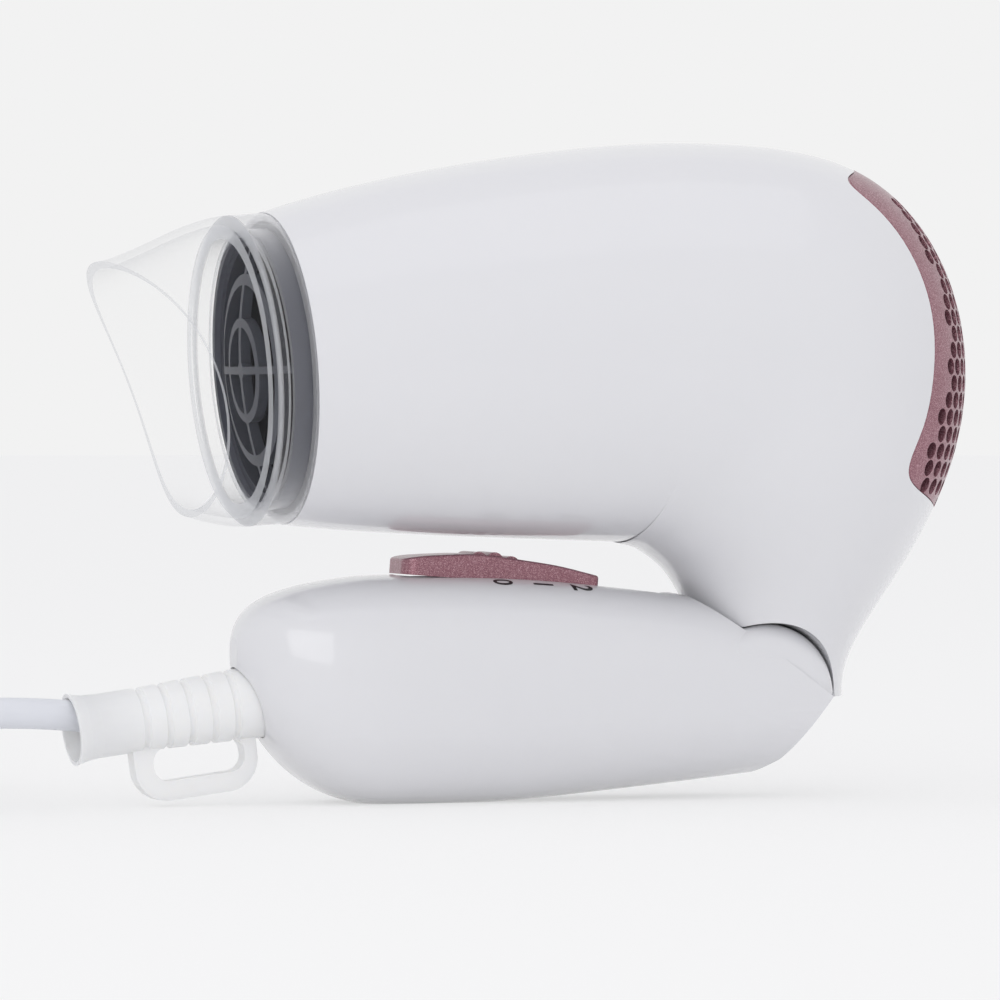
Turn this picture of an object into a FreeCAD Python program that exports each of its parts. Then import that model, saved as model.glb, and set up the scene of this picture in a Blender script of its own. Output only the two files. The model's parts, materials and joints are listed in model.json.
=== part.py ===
"""Folding travel hair dryer, standing on its folded handle.  All sizes in millimetres.

Frame: +X runs along the folded handle from the cord to the hinge, +Y across, +Z up.
The origin is the centre of the flat on the handle's underside, so z = 0 is the table.
Three local frames carry most pieces: the barrel frame (its Z is the air path, from the outlet
to the intake), the hinge axis (along Y) and the switch frame (its X is the slide direction).
"""
import FreeCAD, Part
import math
import os
from types import SimpleNamespace
from FreeCAD import Placement, Rotation, Vector

DIMENSIONS = [
    # alias, value, meaning
    ("wall", 2.0, "wall of every moulded shell"),
    ("fit_gap", 0.05, "radial clearance of a turning or sliding fit"),
    ("seat_gap", 0.1, "clearance of a piece in its seat"),
    ("free_gap", 0.35, "clearance between curved faces that move past each other"),
    # barrel
    ("mouth_x", -37.0, "centre of the barrel's front edge"),
    ("mouth_height", 86.3, "height of that centre above the table"),
    ("mouth_radius", 31.0, "barrel radius at its front edge"),
    ("barrel_tilt", 4.0, "nose-down tilt of the air path, degrees"),
    ("waist_x", -4.0, "station between the mouth and the bend"),
    ("waist_top", 126.0, "top of the barrel there"),
    ("waist_bottom", 53.1, "underside of the barrel there"),
    ("waist_half_width", 35.0, "half width of the barrel there"),
    ("bend_x", 32.0, "pivot of the bend from barrel to neck"),
    ("bend_height", 31.0, "height of that pivot"),
    ("bend_radius", 20.6, "radius of the inner side of the bend"),
    ("neck_inner_angle", 22.0, "angle at which the inner side of the neck ends, degrees"),
    ("reach_crown", 99.9, "outer side of the bend, from the pivot, at 90 degrees"),
    ("reach_top", 104.0, "the same at 75 degrees"),
    ("reach_shoulder", 109.3, "the same at 60 degrees"),
    ("reach_rear_high", 102.7, "the same at 45 degrees"),
    ("reach_rear", 86.0, "the same at 30 degrees"),
    ("reach_rear_low", 65.9, "the same at 15 degrees"),
    ("reach_nape", 52.8, "the same at 0 degrees"),
    ("reach_neck_end", 53.2, "the same at the end of the neck"),
    ("neck_outer_angle", -17.5, "angle at which the outer side of the neck ends, degrees"),
    ("neck_tip_drop", 0.6, "how far the tip of the neck reaches below the hinge axis"),
    ("half_width_crown", 37.5, "half width of the barrel at 90 degrees"),
    ("half_width_top", 38.3, "the same at 75 degrees"),
    ("half_width_shoulder", 38.5, "the same at 60 degrees"),
    ("half_width_rear_high", 37.5, "the same at 45 degrees"),
    ("half_width_rear", 33.0, "the same at 30 degrees"),
    ("half_width_rear_low", 26.5, "the same at 15 degrees"),
    ("half_width_nape", 21.5, "the same at 0 degrees"),
    ("half_width_neck_end", 19.3, "half width of the neck at its end"),
    # intake grille
    ("grille_top", 127.6, "highest point of the intake grille"),
    ("grille_bottom", 57.6, "lowest point of the intake grille"),
    ("grille_half_width", 32.0, "half width of the intake grille at its widest"),
    ("grille_joint", 0.2, "joint line round the intake grille"),
    ("tab_reach", 2.8, "how far a tab reaches under the intake grille's edge"),
    ("tab_thickness", 1.5, "thickness of such a tab"),
    ("hole_radius", 1.65, "radius of an intake hole"),
    ("hole_pitch", 3.95, "distance between neighbouring intake holes"),
    ("hole_margin", 2.7, "from the grille's edge to the nearest hole centre"),
    ("hole_focus_x", 62.0, "point that every intake hole aims at"),
    ("hole_focus_height", 90.0, "height of that point"),
    ("hole_focus_reach", 45.5, "from that point to the grille"),
    ("mesh_thickness", 0.4, "thickness of the hair screen"),
    # hinge
    ("hinge_x", 61.8, "hinge axis"),
    ("hinge_height", 21.0, "height of the hinge axis above the table"),
    ("knuckle_radius", 14.1, "round end of the handle"),
    ("knuckle_half_width", 18.4, "half width of that round end"),
    ("knuckle_round", 4.0, "rounding of its two edges"),
    ("knuckle_depth", 2.0, "how far it reaches below the hinge axis"),
    ("tongue_half_width", 6.0, "half width of the neck's tongue"),
    ("tongue_radius", 12.7, "radius of that tongue"),
    ("washer_thickness", 0.8, "hinge washer"),
    ("washer_radius", 6.0, "outer radius of a hinge washer"),
    ("hinge_pin_radius", 2.5, "radius of the hinge pin"),
    ("hinge_pin_length", 30.0, "length of the hinge pin"),
    ("hinge_pin_start", 14.4, "blind end of the pin's bore, from the middle plane"),
    ("hinge_cap_radius", 4.5, "radius of the cap over the hinge pin"),
        # handle
    ("handle_tip_x", -45.4, "rounded end of the handle"),
    ("handle_round_length", 31.0, "length over which that end is rounded"),
    ("handle_tip_lift", 7.8, "height of the rounded tip above the middle of the handle"),
    ("handle_crown", 45.3, "highest point of the handle"),
    ("rest_flat_depth", 0.5, "how far the round underside is cut flat"),
    ("handle_half_width", 19.0, "half width of the handle"),
    ("handle_power", 2.7, "squareness of the handle's section, 2 is an ellipse"),
    ("top_fall_start", 0.0, "where the top of the handle starts to fall"),
    ("top_fall", 5.6, "how far the top of the handle falls to the hinge"),
    ("heel_rise_start", 4.0, "where the underside starts to rise"),
    ("heel_rise", 5.0, "how far the underside rises to the hinge"),
    ("heel_angle", -37.0, "direction that the oblique end of the handle faces, degrees"),
    ("heel_reach", 10.6, "from the hinge axis to that oblique end"),
    ("heel_corner_angle", -53.0, "direction that the heel's broken corner faces, degrees"),
    ("heel_corner_reach", 12.5, "from the hinge axis to that corner"),
    ("handle_taper_length", 56.0, "length over which the top falls and the heel rises"),
    ("handle_loft_end", 76.0, "end of the handle's swept body, inside the round end"),
    ("seam_height", 14.8, "joint line between the handle's shells, at x = 0"),
    ("seam_slope", 2.4, "rise of that joint line towards the hinge, degrees"),
    ("handle_cavity_end", 45.0, "end of the hollow in the handle"),
    # switch
    ("switch_x", -11.6, "left end of the slider at 0"),
    ("switch_height", 45.2, "floor of the slider's track at that end"),
    ("switch_fall", 4.4, "fall of the track towards the hinge, degrees"),
    ("slider_length", 40.9, "length of the slider"),
    ("slider_half_width", 6.5, "half width of the slider"),
    ("slider_crown", 5.3, "highest point of the slider above its track"),
    ("slider_nose_round", 3.2, "rounding of its two corners at 0"),
    ("slider_tail_round", 1.0, "rounding of the other two corners"),
    ("slider_edge_round", 0.6, "rounding of its upper edges"),
    ("rib_radius", 1.9, "radius of the ribs under the thumb"),
    ("slider_lift", 0.3, "gap under the slider"),
    ("switch_step", 8.2, "slider travel from one digit to the next"),
    ("track_depth", 3.2, "thickness of the pad under the track"),
    ("stem_length", 5.0, "length of the slider's stem along the track"),
    ("stem_half_width", 1.6, "half width of that stem"),
    ("stem_position", 12.0, "from the slider's left end to its stem"),
    ("stem_reach", 6.0, "how far the stem reaches below the slider"),
    ("switch_body_length", 32.0, "length of the switch under the slider"),
    ("switch_body_half_width", 7.0, "half width of the switch"),
    ("switch_body_depth", 10.0, "depth of the switch"),
    ("switch_body_wall", 1.5, "wall of the switch"),
    ("contact_thickness", 1.0, "copper contact that rides on the stem"),
    ("board_thickness", 1.6, "control board"),
    ("board_start", 3.6, "left edge of the control board along the track"),
    ("board_length", 42.5, "length of the control board"),
    ("board_half_width", 9.0, "half width of the control board"),
    ("capacitor_length", 7.0, "length of the suppression capacitor"),
    ("capacitor_half_width", 7.0, "half width of the suppression capacitor"),
    ("capacitor_depth", 8.0, "depth of the suppression capacitor"),
    # air path, from the barrel's front edge
    ("ring_front", 4.0, "how far the outlet ring stands out of the barrel"),
    ("ring_depth", 7.0, "how far it reaches into the barrel"),
    ("ring_opening", 25.0, "radius of the outlet opening"),
    ("web_dome", 4.0, "how far the outlet grille bulges forwards"),
    ("web_back", 2.6, "edge of the outlet grille in front of the barrel's edge"),
    ("web_thickness", 2.0, "thickness of the outlet grille"),
    ("web_mid_radius", 18.0, "middle ring of the outlet grille"),
    ("web_mid_width", 2.2, "width of that ring"),
    ("web_inner_radius", 9.5, "inner ring of the outlet grille"),
    ("web_inner_width", 1.8, "width of that ring"),
    ("web_hub_radius", 1.7, "hub of the outlet grille"),
    ("web_spoke_width", 1.5, "width of a spoke"),
    ("collar_length", 6.8, "length of the clear collar"),
    ("collar_radius", 30.8, "outer radius of the clear collar"),
    ("collar_wall", 2.9, "wall of the clear collar"),
    ("nozzle_wall", 1.6, "wall of the clear mouthpiece"),
    ("nozzle_gap", 0.3, "gap between the clear pieces along the air path"),
    ("skirt_length", 2.6, "lip of the mouthpiece inside the collar"),
    ("lip_length", 29.0, "from the collar to the widest oval"),
    ("lip_half_width", 38.5, "half width of that oval"),
    ("lip_half_height", 23.3, "half height of that oval"),
    ("lip_arc", 62.05, "radius of the hollow front edge, seen from the side"),
    ("lip_arc_rise", -17.7, "centre of that arc above the air path's axis"),
    ("lip_arc_reach", 80.3, "the same, in front of the barrel's edge"),
    ("sleeve_radius", 27.7, "outer radius of the mica sleeve"),
    ("sleeve_thickness", 0.8, "mica sheet"),
    ("heater_start", 9.0, "front of the heater"),
    ("heater_end", 50.0, "back of the heater"),
    ("winding_seat", 21.5, "half width of a mica board between its ends"),
    ("winding_margin", 4.0, "full-width stretch at each end of a mica board"),
    ("wire_radius", 0.9, "radius of the wound heating coil"),
    ("winding_count", 7, "turns of heating coil"),
    ("duct_start", 49.0, "front of the fan duct"),
    ("duct_end", 99.0, "back of the fan duct"),
    ("duct_bore", 28.0, "inner radius of the fan duct"),
    ("bulkhead_start", 78.0, "plate that carries the fan duct"),
    ("hub_radius", 14.2, "outer radius of the motor's seat"),
    ("motor_radius", 12.0, "motor radius"),
    ("motor_length", 25.0, "motor length"),
    ("motor_start", 56.0, "front of the motor"),
    ("vane_count", 6, "vanes between the motor's seat and the duct"),
    ("shaft_radius", 1.0, "motor shaft radius"),
    ("fan_start", 84.0, "front of the fan"),
    ("fan_depth", 12.0, "fan depth along the air path"),
    ("fan_radius", 27.0, "fan radius at the blade tips"),
    ("fan_hub_radius", 10.0, "fan hub radius"),
    ("blade_count", 7, "fan blades"),
    # screws
    ("screw_radius", 1.45, "radius of a self-tapping screw"),
    ("screw_head_radius", 2.7, "radius of its head"),
    ("screw_head_depth", 2.0, "depth of its head"),
    ("boss_wall", 1.6, "wall of a screw boss round the head"),
    # strain relief
    ("relief_x", -78.3, "centre of the strain relief's mouth"),
    ("relief_height", 15.3, "height of that centre"),
    ("relief_slope", 7.7, "rise of the strain relief towards the handle, degrees"),
    ("relief_length", 48.0, "from its mouth to its flange in the handle"),
    ("relief_mouth_radius", 7.2, "flared mouth"),
    ("relief_tube_radius", 6.3, "plain stretch behind the mouth"),
    ("relief_root_radius", 7.3, "where it enters the handle"),
    ("relief_flange_radius", 9.2, "flange inside the handle"),
    ("relief_flange_thickness", 2.0, "thickness of that flange"),
    ("relief_socket_mouth", 6.4, "radius of the open bell round the cord, at its mouth"),
    ("relief_socket_radius", 5.0, "radius at the bottom of that bell"),
    ("relief_socket_depth", 12.0, "depth of that bell"),
    ("ridge_start", 14.0, "from the mouth to the first groove"),
    ("ridge_pitch", 4.6, "from one groove to the next"),
    ("ridge_count", 5, "grooves"),
    ("ridge_groove", 0.75, "radius of a groove"),
    ("loop_start", 11.3, "hanging loop, from the mouth"),
    ("loop_end", 36.5, "end of the hanging loop, from the mouth"),
    ("loop_drop", 16.6, "lowest edge of the loop below the relief's axis"),
    ("loop_bar", 3.8, "bar of the loop"),
    ("loop_rear_bar", 2.6, "its bar nearest the handle"),
    ("loop_thickness", 4.4, "thickness of the loop across"),
    ("loop_hole_top", 6.0, "upper edge of the loop's hole below the axis"),
    ("loop_corner", 6.5, "rounding of the loop's outer corners"),
    # cord
    ("cord_radius", 3.1, "radius of the mains cord"),
    ("clamp_start", 50.5, "cord clamp, from the strain relief's mouth"),
    ("clamp_length", 6.0, "length of the cord clamp"),
    ("clamp_half_width", 9.0, "half width of the cord clamp"),
    ("clamp_thickness", 5.5, "thickness of the cord clamp above the cord's axis"),
    ("clamp_screw_offset", 6.2, "clamp screws from the middle plane"),
    ("clamp_screw_radius", 1.2, "radius of a clamp screw"),
    ("lead_radius", 0.9, "insulated lead inside the handle"),
    ("coil_x", -143.0, "centre of the wound cord"),
    ("coil_y", 13.0, "centre of the wound cord, across"),
    ("coil_radius", 31.5, "middle radius of the wound cord"),
    ("coil_section", 9.3, "radius of the bundle of turns"),
    ("tie_thickness", 0.8, "thickness of the cable tie"),
    ("tie_width", 5.0, "width of the cable tie"),
    ("tie_slack", 0.12, "gap between the cable tie and the wound cord"),
    ("tie_angle", 60.0, "place of the cable tie round the coil, degrees"),
    ("plug_length", 36.0, "length of the plug body"),
    ("plug_half_width", 17.0, "half width of the plug body"),
    ("plug_half_height", 12.5, "half height of the plug body"),
    ("plug_round", 6.0, "rounding of the plug body"),
    ("plug_relief_length", 20.0, "strain relief on the plug"),
    ("plug_relief_radius", 5.2, "its radius at the plug"),
    ("plug_pin_radius", 2.4, "plug pin radius"),
    ("plug_pin_length", 19.0, "plug pin length"),
    ("plug_pin_offset", 9.5, "plug pin from the plug's axis"),
    ("barrel_screw_length", 17.0, "screw through the barrel's halves"),
    ("handle_screw_length", 16.0, "screw through the handle's shells"),
    ("handle_screw_seat", 5.0, "height of the screw heads' seats above the table"),
    ("clamp_screw_length", 12.0, "screw of the cord clamp"),
]

# Route of the cord from the bottom of the strain relief's bell to the wound part, and from the
# wound part to the plug.  The points are chosen by hand.
CORD_ROUTE = [(-77.0, 0.0, 18.1), (-87.5, 0.0, 18.8), (-97.7, 0.0, 18.9), (-106.7, -2.5, 18.4),
              (-114.6, -7.3, 17.3), (-121.0, -14.1, 16.1)]
TAIL_ROUTE = [(-179.4, 3.2, 10.2), (-182.3, 13.9, 10.1), (-184.7, 24.1, 9.8), (-186.1, 34.5, 9.6),
              (-186.1, 43.5, 9.75), (-184.3, 50.5, 10.2), (-180.8, 56.8, 10.85), (-175.8, 62.0, 11.55),
              (-169.7, 65.8, 12.15), (-162.9, 67.95, 12.5), (-155.7, 68.35, 12.5)]

doc = FreeCAD.newDocument("hair_dryer")
sheet = doc.addObject("Spreadsheet::Sheet", "dims")
for row, (alias, value, meaning) in enumerate(DIMENSIONS, start=1):
    sheet.set(f"A{row}", meaning)
    sheet.set(f"B{row}", str(value))
    sheet.setAlias(f"B{row}", alias)
doc.recompute()
d = SimpleNamespace(**{alias: float(sheet.get(alias)) for alias, _, _ in DIMENSIONS})

nodes = []
ACROSS = Vector(0, 1, 0)
BIG = 400.0


# ---------------------------------------------------------------- helpers
def keep(obj, label, placement=None):
    """Name an object as a finished sub-part and put it in its place."""
    obj.Label = label
    if placement is not None:
        obj.Placement = placement
    nodes.append(obj)
    return obj


def feature(label, shape, placement=None):
    """A finished sub-part whose shape is computed here."""
    obj = doc.addObject("Part::Feature", label)
    obj.Shape = shape
    if placement is not None:
        placement = placement.multiply(shape.Placement)
    return keep(obj, label, placement)


def primitive(kind, **sizes):
    """A Part primitive whose sizes, and place along its own axis, are bound to the sheet."""
    obj = doc.addObject("Part::" + kind, kind)
    for name, expression in sizes.items():
        obj.setExpression(name.replace("At", "Placement.Base.") if name.startswith("At") else name,
                          expression)
    return obj


def boolean(kind, base, tool):
    """Cut or Common of two objects."""
    obj = doc.addObject("Part::" + kind, kind)
    obj.Base = base
    obj.Tool = tool
    return obj


def fused(*parts):
    obj = doc.addObject("Part::MultiFuse", "Fusion")
    obj.Shapes = list(parts)
    return obj


def tube(outer, inner, length, start):
    """A ring about local Z, as expressions."""
    body = primitive("Cylinder", Radius=outer, Height=length, Atz=start)
    bore = primitive("Cylinder", Radius=inner, Height=f"({length}) + 2", Atz=f"({start}) - 1")
    return boolean("Cut", body, bore)


def disc(centre, axis, radius, half_length):
    """A cylinder centred on a point."""
    return Part.makeCylinder(radius, 2 * half_length, centre - axis * half_length, axis)


def half_space(point, normal):
    """A large block on the side of the plane that the normal points to."""
    block = Part.makeBox(BIG, BIG, BIG, Vector(-BIG / 2, -BIG / 2, 0))
    block.Placement = Placement(point, Rotation(Vector(0, 0, 1), normal))
    return block


def oval(centre, up, half_height, half_width, power=2.0, count=28):
    """Closed smooth curve through a superellipse in the plane of `up` and the Y axis."""
    points = []
    for step in range(count):
        angle = 2 * math.pi * step / count
        rise = math.copysign(abs(math.cos(angle)) ** (2 / power), math.cos(angle))
        side = math.copysign(abs(math.sin(angle)) ** (2 / power), math.sin(angle))
        points.append(centre + up * (half_height * rise) + ACROSS * (half_width * side))
    curve = Part.BSplineCurve()
    curve.interpolate(Points=points, PeriodicFlag=True, Parameters=list(range(count + 1)))
    return curve


def skin(sections):
    """Closed solid through like-numbered section curves, smooth both along and around."""
    columns = []
    for poles in zip(*(section.getPoles() for section in sections)):
        column = Part.BSplineCurve()
        column.interpolate(Points=list(poles), Parameters=list(range(len(poles))))
        columns.append(column)
    net = [list(ring) for ring in zip(*(column.getPoles() for column in columns))]
    along, around = columns[0], sections[0]
    surface = Part.BSplineSurface()
    surface.buildFromPolesMultsKnots(net, along.getMultiplicities(), around.getMultiplicities(),
                                     along.getKnots(), around.getKnots(), False, True,
                                     along.Degree, around.Degree)
    caps = [Part.Face(Part.Wire(section.toShape())) for section in (sections[0], sections[-1])]
    shell = Part.makeShell([surface.toShape()] + caps)
    shell.sewShape()
    solid = Part.makeSolid(Part.Shell(shell.Faces))
    if solid.Volume < 0:
        solid.reverse()
    return solid


def direction(degrees):
    """Unit vector in the XZ plane, measured from +X towards +Z."""
    return Vector(math.cos(math.radians(degrees)), 0, math.sin(math.radians(degrees)))


def frame(origin, along, up):
    """Placement whose local X is `along` and whose local Z is `up`."""
    side = up.cross(along)
    matrix = FreeCAD.Matrix(along.x, side.x, up.x, origin.x, along.y, side.y, up.y, origin.y,
                            along.z, side.z, up.z, origin.z, 0, 0, 0, 1)
    return Placement(matrix)


air_axis = direction(d.barrel_tilt)
mouth = Vector(d.mouth_x, 0, d.mouth_height)
barrel_frame = frame(mouth, direction(d.barrel_tilt + 90), air_axis)
hinge = Vector(d.hinge_x, 0, d.hinge_height)
UP = Vector(0, 0, 1)
seat_radius = d.knuckle_radius + d.free_gap


# ---------------------------------------------------------------- barrel surface
def barrel_stations():
    """Sections of barrel and neck as (outer point, inner point, half width)."""
    radius = direction(d.barrel_tilt + 90) * d.mouth_radius
    rows = [(mouth + radius, mouth - radius, d.mouth_radius),
            (Vector(d.waist_x, 0, d.waist_top), Vector(d.waist_x, 0, d.waist_bottom),
             d.waist_half_width)]
    reaches = [d.reach_crown, d.reach_top, d.reach_shoulder, d.reach_rear_high, d.reach_rear,
               d.reach_rear_low, d.reach_nape, d.reach_neck_end]
    widths = [d.half_width_crown, d.half_width_top, d.half_width_shoulder, d.half_width_rear_high,
              d.half_width_rear, d.half_width_rear_low, d.half_width_nape, d.half_width_neck_end]
    angles = [90, 75, 60, 45, 30, 15, 0, d.neck_outer_angle]
    pivot = Vector(d.bend_x, 0, d.bend_height)
    last = len(angles) - 1
    for index, (angle, reach, width) in enumerate(zip(angles, reaches, widths)):
        inner_angle = 90 - (90 - d.neck_inner_angle) * index / last
        rows.append((pivot + direction(angle) * reach,
                     pivot + direction(inner_angle) * d.bend_radius, width))
    return rows


def barrel_solid(inset, first_shift=0.0, drop_last=0):
    """Loft of the barrel, `inset` inside its outer surface."""
    rows = barrel_stations()
    rows = rows[:len(rows) - drop_last]
    sections = []
    for index, (outer, inner, width) in enumerate(rows):
        centre = (outer + inner) * 0.5
        if index == 0:
            centre = centre - air_axis * first_shift
        half = (outer - inner).Length / 2
        sections.append(oval(centre, (outer - inner).normalize(), half - inset, width - inset))
    return skin(sections)


neck_outer, neck_inner, _ = barrel_stations()[-1]
neck_along = (neck_outer - neck_inner).normalize()
neck_up = Vector(-neck_along.z, 0, neck_along.x)
barrel_outer = barrel_solid(0.0)
barrel_inside = barrel_solid(d.wall, first_shift=1.0, drop_last=1)


# ---------------------------------------------------------------- intake grille
def grille_outline(growth):
    """Shield-shaped outline of the intake grille, seen along X and moved outwards by `growth`."""
    height = d.grille_top - d.grille_bottom
    side = [(0.62, 0.92), (0.78, 0.78), (0.89, 0.6), (0.975, 0.4), (1.0, 0.24), (0.955, 0.1),
            (0.75, 0.045)]
    right = [Vector(0, share * d.grille_half_width, d.grille_bottom + level * height)
             for share, level in side]
    left = [Vector(0, -point.y, point.z) for point in reversed(right)]
    points = [Vector(0, 0, d.grille_top)] + right + [Vector(0, 0, d.grille_bottom)] + left
    moved = []
    for index, point in enumerate(points):
        tangent = points[(index + 1) % len(points)] - points[index - 1]
        moved.append(point + Vector(0, -tangent.z, tangent.y).normalize() * growth)
    curve = Part.BSplineCurve()
    curve.interpolate(Points=moved, PeriodicFlag=True)
    return Part.Wire(curve.toShape())


def grille_prism(growth):
    """The outline as a block that cuts the rear of the barrel only."""
    face = Part.Face(grille_outline(growth))
    face.translate(Vector(d.hole_focus_x + 8, 0, 0))
    return face.extrude(Vector(BIG / 4, 0, 0))


def hole_directions():
    """Hex pattern of directions from the focus, kept where the grille has room for a hole."""
    field = Part.Face(grille_outline(-d.hole_margin))
    row_angle = d.hole_pitch * math.sqrt(3) / 2 / d.hole_focus_reach
    rows = int(math.pi / 2 / row_angle)
    found = []
    for row in range(-rows, rows):
        lift = row * row_angle
        step = d.hole_pitch / d.hole_focus_reach / math.cos(lift)
        count = int(math.pi / 2 / step)
        for column in range(-count, count + 1):
            turn = (column + 0.5 * (row % 2)) * step
            ray = Vector(math.cos(lift) * math.cos(turn), math.cos(lift) * math.sin(turn),
                         math.sin(lift))
            spot = Vector(0, ray.y, ray.z) * d.hole_focus_reach + Vector(0, 0, d.hole_focus_height)
            if ray.x > 0 and field.isInside(spot, 0.01, True):
                found.append(ray)
    return found


focus = Vector(d.hole_focus_x, 0, d.hole_focus_height)
grille = barrel_outer.cut(barrel_inside).common(grille_prism(0))
holes = [Part.makeCylinder(d.hole_radius, d.hole_focus_reach / 2,
                           focus + ray * (d.hole_focus_reach * 0.8), ray)
         for ray in hole_directions()]
grille = grille.cut(Part.makeCompound(holes))
feature("rear_grille", grille)


def grille_tabs():
    """Tabs inside the wall that reach under the grille's edge and carry it."""
    span = d.grille_top - d.grille_bottom
    blocks = []
    for y, z in ((0.0, d.grille_bottom), (-d.grille_half_width, d.grille_bottom + 0.24 * span),
                 (d.grille_half_width, d.grille_bottom + 0.24 * span),
                 (-0.7 * d.grille_half_width, d.grille_bottom + 0.86 * span),
                 (0.7 * d.grille_half_width, d.grille_bottom + 0.86 * span)):
        blocks.append(Part.makeBox(BIG / 4, 2 * d.tab_reach, 2 * d.tab_reach,
                                   Vector(d.hole_focus_x + 8, y - d.tab_reach, z - d.tab_reach)))
    under = barrel_solid(d.wall + d.tab_thickness, drop_last=1)
    return Part.makeCompound(blocks).common(barrel_inside).cut(under)


tabs = grille_tabs()
mesh_outer = barrel_solid(d.wall + d.free_gap, drop_last=1)
mesh_inner = barrel_solid(d.wall + d.free_gap + d.mesh_thickness, drop_last=1)
mesh_field = grille_prism(-d.tab_reach - d.free_gap)
feature("intake_mesh", mesh_outer.cut(mesh_inner).common(mesh_field).cut(tabs))


# ---------------------------------------------------------------- barrel shells
def screw_shape(length, radius, head_radius):
    """Screw along local Z, head seat at the origin, tip at -length, with a cross recess."""
    depth = d.screw_head_depth
    head = Part.makeCylinder(head_radius, depth)
    head = head.makeFillet(depth * 0.4, [head.Edges[0]])
    shank = Part.makeCylinder(radius, length - 2, Vector(0, 0, 2 - length))
    point = Part.makeCone(radius * 0.3, radius, 2, Vector(0, 0, -length))
    reach = 0.7 * head_radius
    slot = Part.makeBox(2 * reach, 0.8, depth, Vector(-reach, -0.4, depth * 0.55))
    cross = slot.fuse(slot.rotated(Vector(), Vector(0, 0, 1), 90))
    return head.fuse([shank, point]).cut(cross)


def screw_set(label, places, axis, length, radius, head_radius):
    """Equal screws with their heads towards `axis`."""
    turn = Rotation(Vector(0, 0, 1), axis)
    screws = []
    for place in places:
        screw = screw_shape(length, radius, head_radius)
        screw.Placement = Placement(place + axis * d.seat_gap, turn)
        screws.append(screw)
    feature(label, Part.makeCompound(screws))


BARREL_SCREWS = [Vector(63, 8, 47), Vector(83, 8, 65), Vector(77, 8, 113)]
head_room = d.screw_head_radius + d.fit_gap * 4
bosses = []
boss_holes = []
for place in BARREL_SCREWS:
    middle = Vector(place.x, 0, place.z)
    bosses.append(disc(middle, ACROSS, head_room + d.boss_wall, d.mouth_radius * 2))
    boss_holes.append(Part.makeCylinder(head_room, BIG, place, ACROSS))
    boss_holes.append(Part.makeCylinder(d.screw_radius + d.fit_gap, d.barrel_screw_length + 1.0,
                                        place, ACROSS.negative()))

tongue = disc(hinge, ACROSS, d.tongue_radius, d.tongue_half_width)
ear_width = (d.knuckle_half_width + 10 - d.tongue_half_width) / 2
seats = [disc(hinge + ACROSS * (side * (d.tongue_half_width + ear_width)), ACROSS, seat_radius,
              ear_width) for side in (-1, 1)]
pin_bore = disc(hinge, ACROSS, d.hinge_pin_radius + d.fit_gap, d.tongue_half_width + 1)

neck_wall = disc(hinge, ACROSS, seat_radius + d.wall, BIG / 4)
barrel = barrel_outer.cut(barrel_inside.cut(Part.makeCompound(bosses + [neck_wall])))
boss_limit = barrel_solid(d.wall + d.mesh_thickness + 2 * d.free_gap, drop_last=1)
grille_opening = grille_prism(d.grille_joint).cut(Part.makeCompound(bosses).common(boss_limit))
barrel = barrel.cut(Part.makeCompound(seats)).cut(grille_opening)
barrel = barrel.cut(half_space(hinge - UP * d.neck_tip_drop, UP.negative()))
barrel = barrel.fuse([tongue, tabs]).cut(Part.makeCompound(boss_holes + [pin_bore]))
feature("barrel_left_shell", barrel.cut(half_space(Vector(), ACROSS)))
feature("barrel_right_shell", barrel.cut(half_space(Vector(), ACROSS.negative())))

screw_set("barrel_screws", BARREL_SCREWS, ACROSS, d.barrel_screw_length, d.screw_radius,
          d.screw_head_radius)


# ---------------------------------------------------------------- air path
def ring(outer, inner, start, end):
    """A ring about Z between two stations."""
    return Part.makeCylinder(outer, end - start, Vector(0, 0, start)).cut(
        Part.makeCylinder(inner, end - start + 2, Vector(0, 0, start - 1)))


def around(shape, count):
    """Copies of a shape, evenly turned about Z."""
    return [shape.rotated(Vector(), Vector(0, 0, 1), 360 * index / count)
            for index in range(int(count))]


collar_bore = d.collar_radius - d.collar_wall
rim_radius = d.ring_opening + 1.4
ring_outer = ring(collar_bore - d.fit_gap, rim_radius + d.fit_gap, -d.ring_front, -d.fit_gap)
ring_outer = ring_outer.fuse([
    ring(d.mouth_radius - d.wall - d.seat_gap, rim_radius + d.fit_gap, -d.fit_gap, 1),
    ring(d.mouth_radius - d.wall - d.seat_gap, d.ring_opening, 1, 3),
    ring(d.mouth_radius - d.wall - d.seat_gap, d.sleeve_radius + d.fit_gap, 3, d.ring_depth)])
feature("outlet_ring", ring_outer.removeSplitter(), barrel_frame)

cap_radius = (d.ring_opening ** 2 + d.web_dome ** 2) / (2 * d.web_dome)
cap_centre = Vector(0, 0, cap_radius - d.web_back - d.web_dome)
cap = Part.makeSphere(cap_radius, cap_centre).cut(
    Part.makeSphere(cap_radius - d.web_thickness, cap_centre))
web = [ring(radius + width / 2, radius - width / 2, -20, 5) for radius, width in (
    (d.web_mid_radius, d.web_mid_width), (d.web_inner_radius, d.web_inner_width))]
spoke = Part.makeBox(2 * rim_radius, d.web_spoke_width, 25,
                     Vector(-rim_radius, -d.web_spoke_width / 2, -20))
hub = Part.makeCylinder(d.web_hub_radius, 25, Vector(0, 0, -20))
web = hub.fuse(web + [spoke, spoke.rotated(Vector(), Vector(0, 0, 1), 90)])
web = web.common(cap).common(Part.makeCylinder(rim_radius - 0.2, 25, Vector(0, 0, -20)))
rim = ring(rim_radius, d.ring_opening - 0.4, -d.web_back - 0.2, 1 - d.fit_gap)
feature("outlet_grille", web.fuse(rim), barrel_frame)

collar_start = "-(dims.collar_length + dims.nozzle_gap)"
keep(tube("dims.collar_radius", "dims.collar_radius - dims.collar_wall", "dims.collar_length",
          collar_start), "nozzle_collar", barrel_frame)

mouth_base = -(d.collar_length + 2 * d.nozzle_gap)


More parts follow.
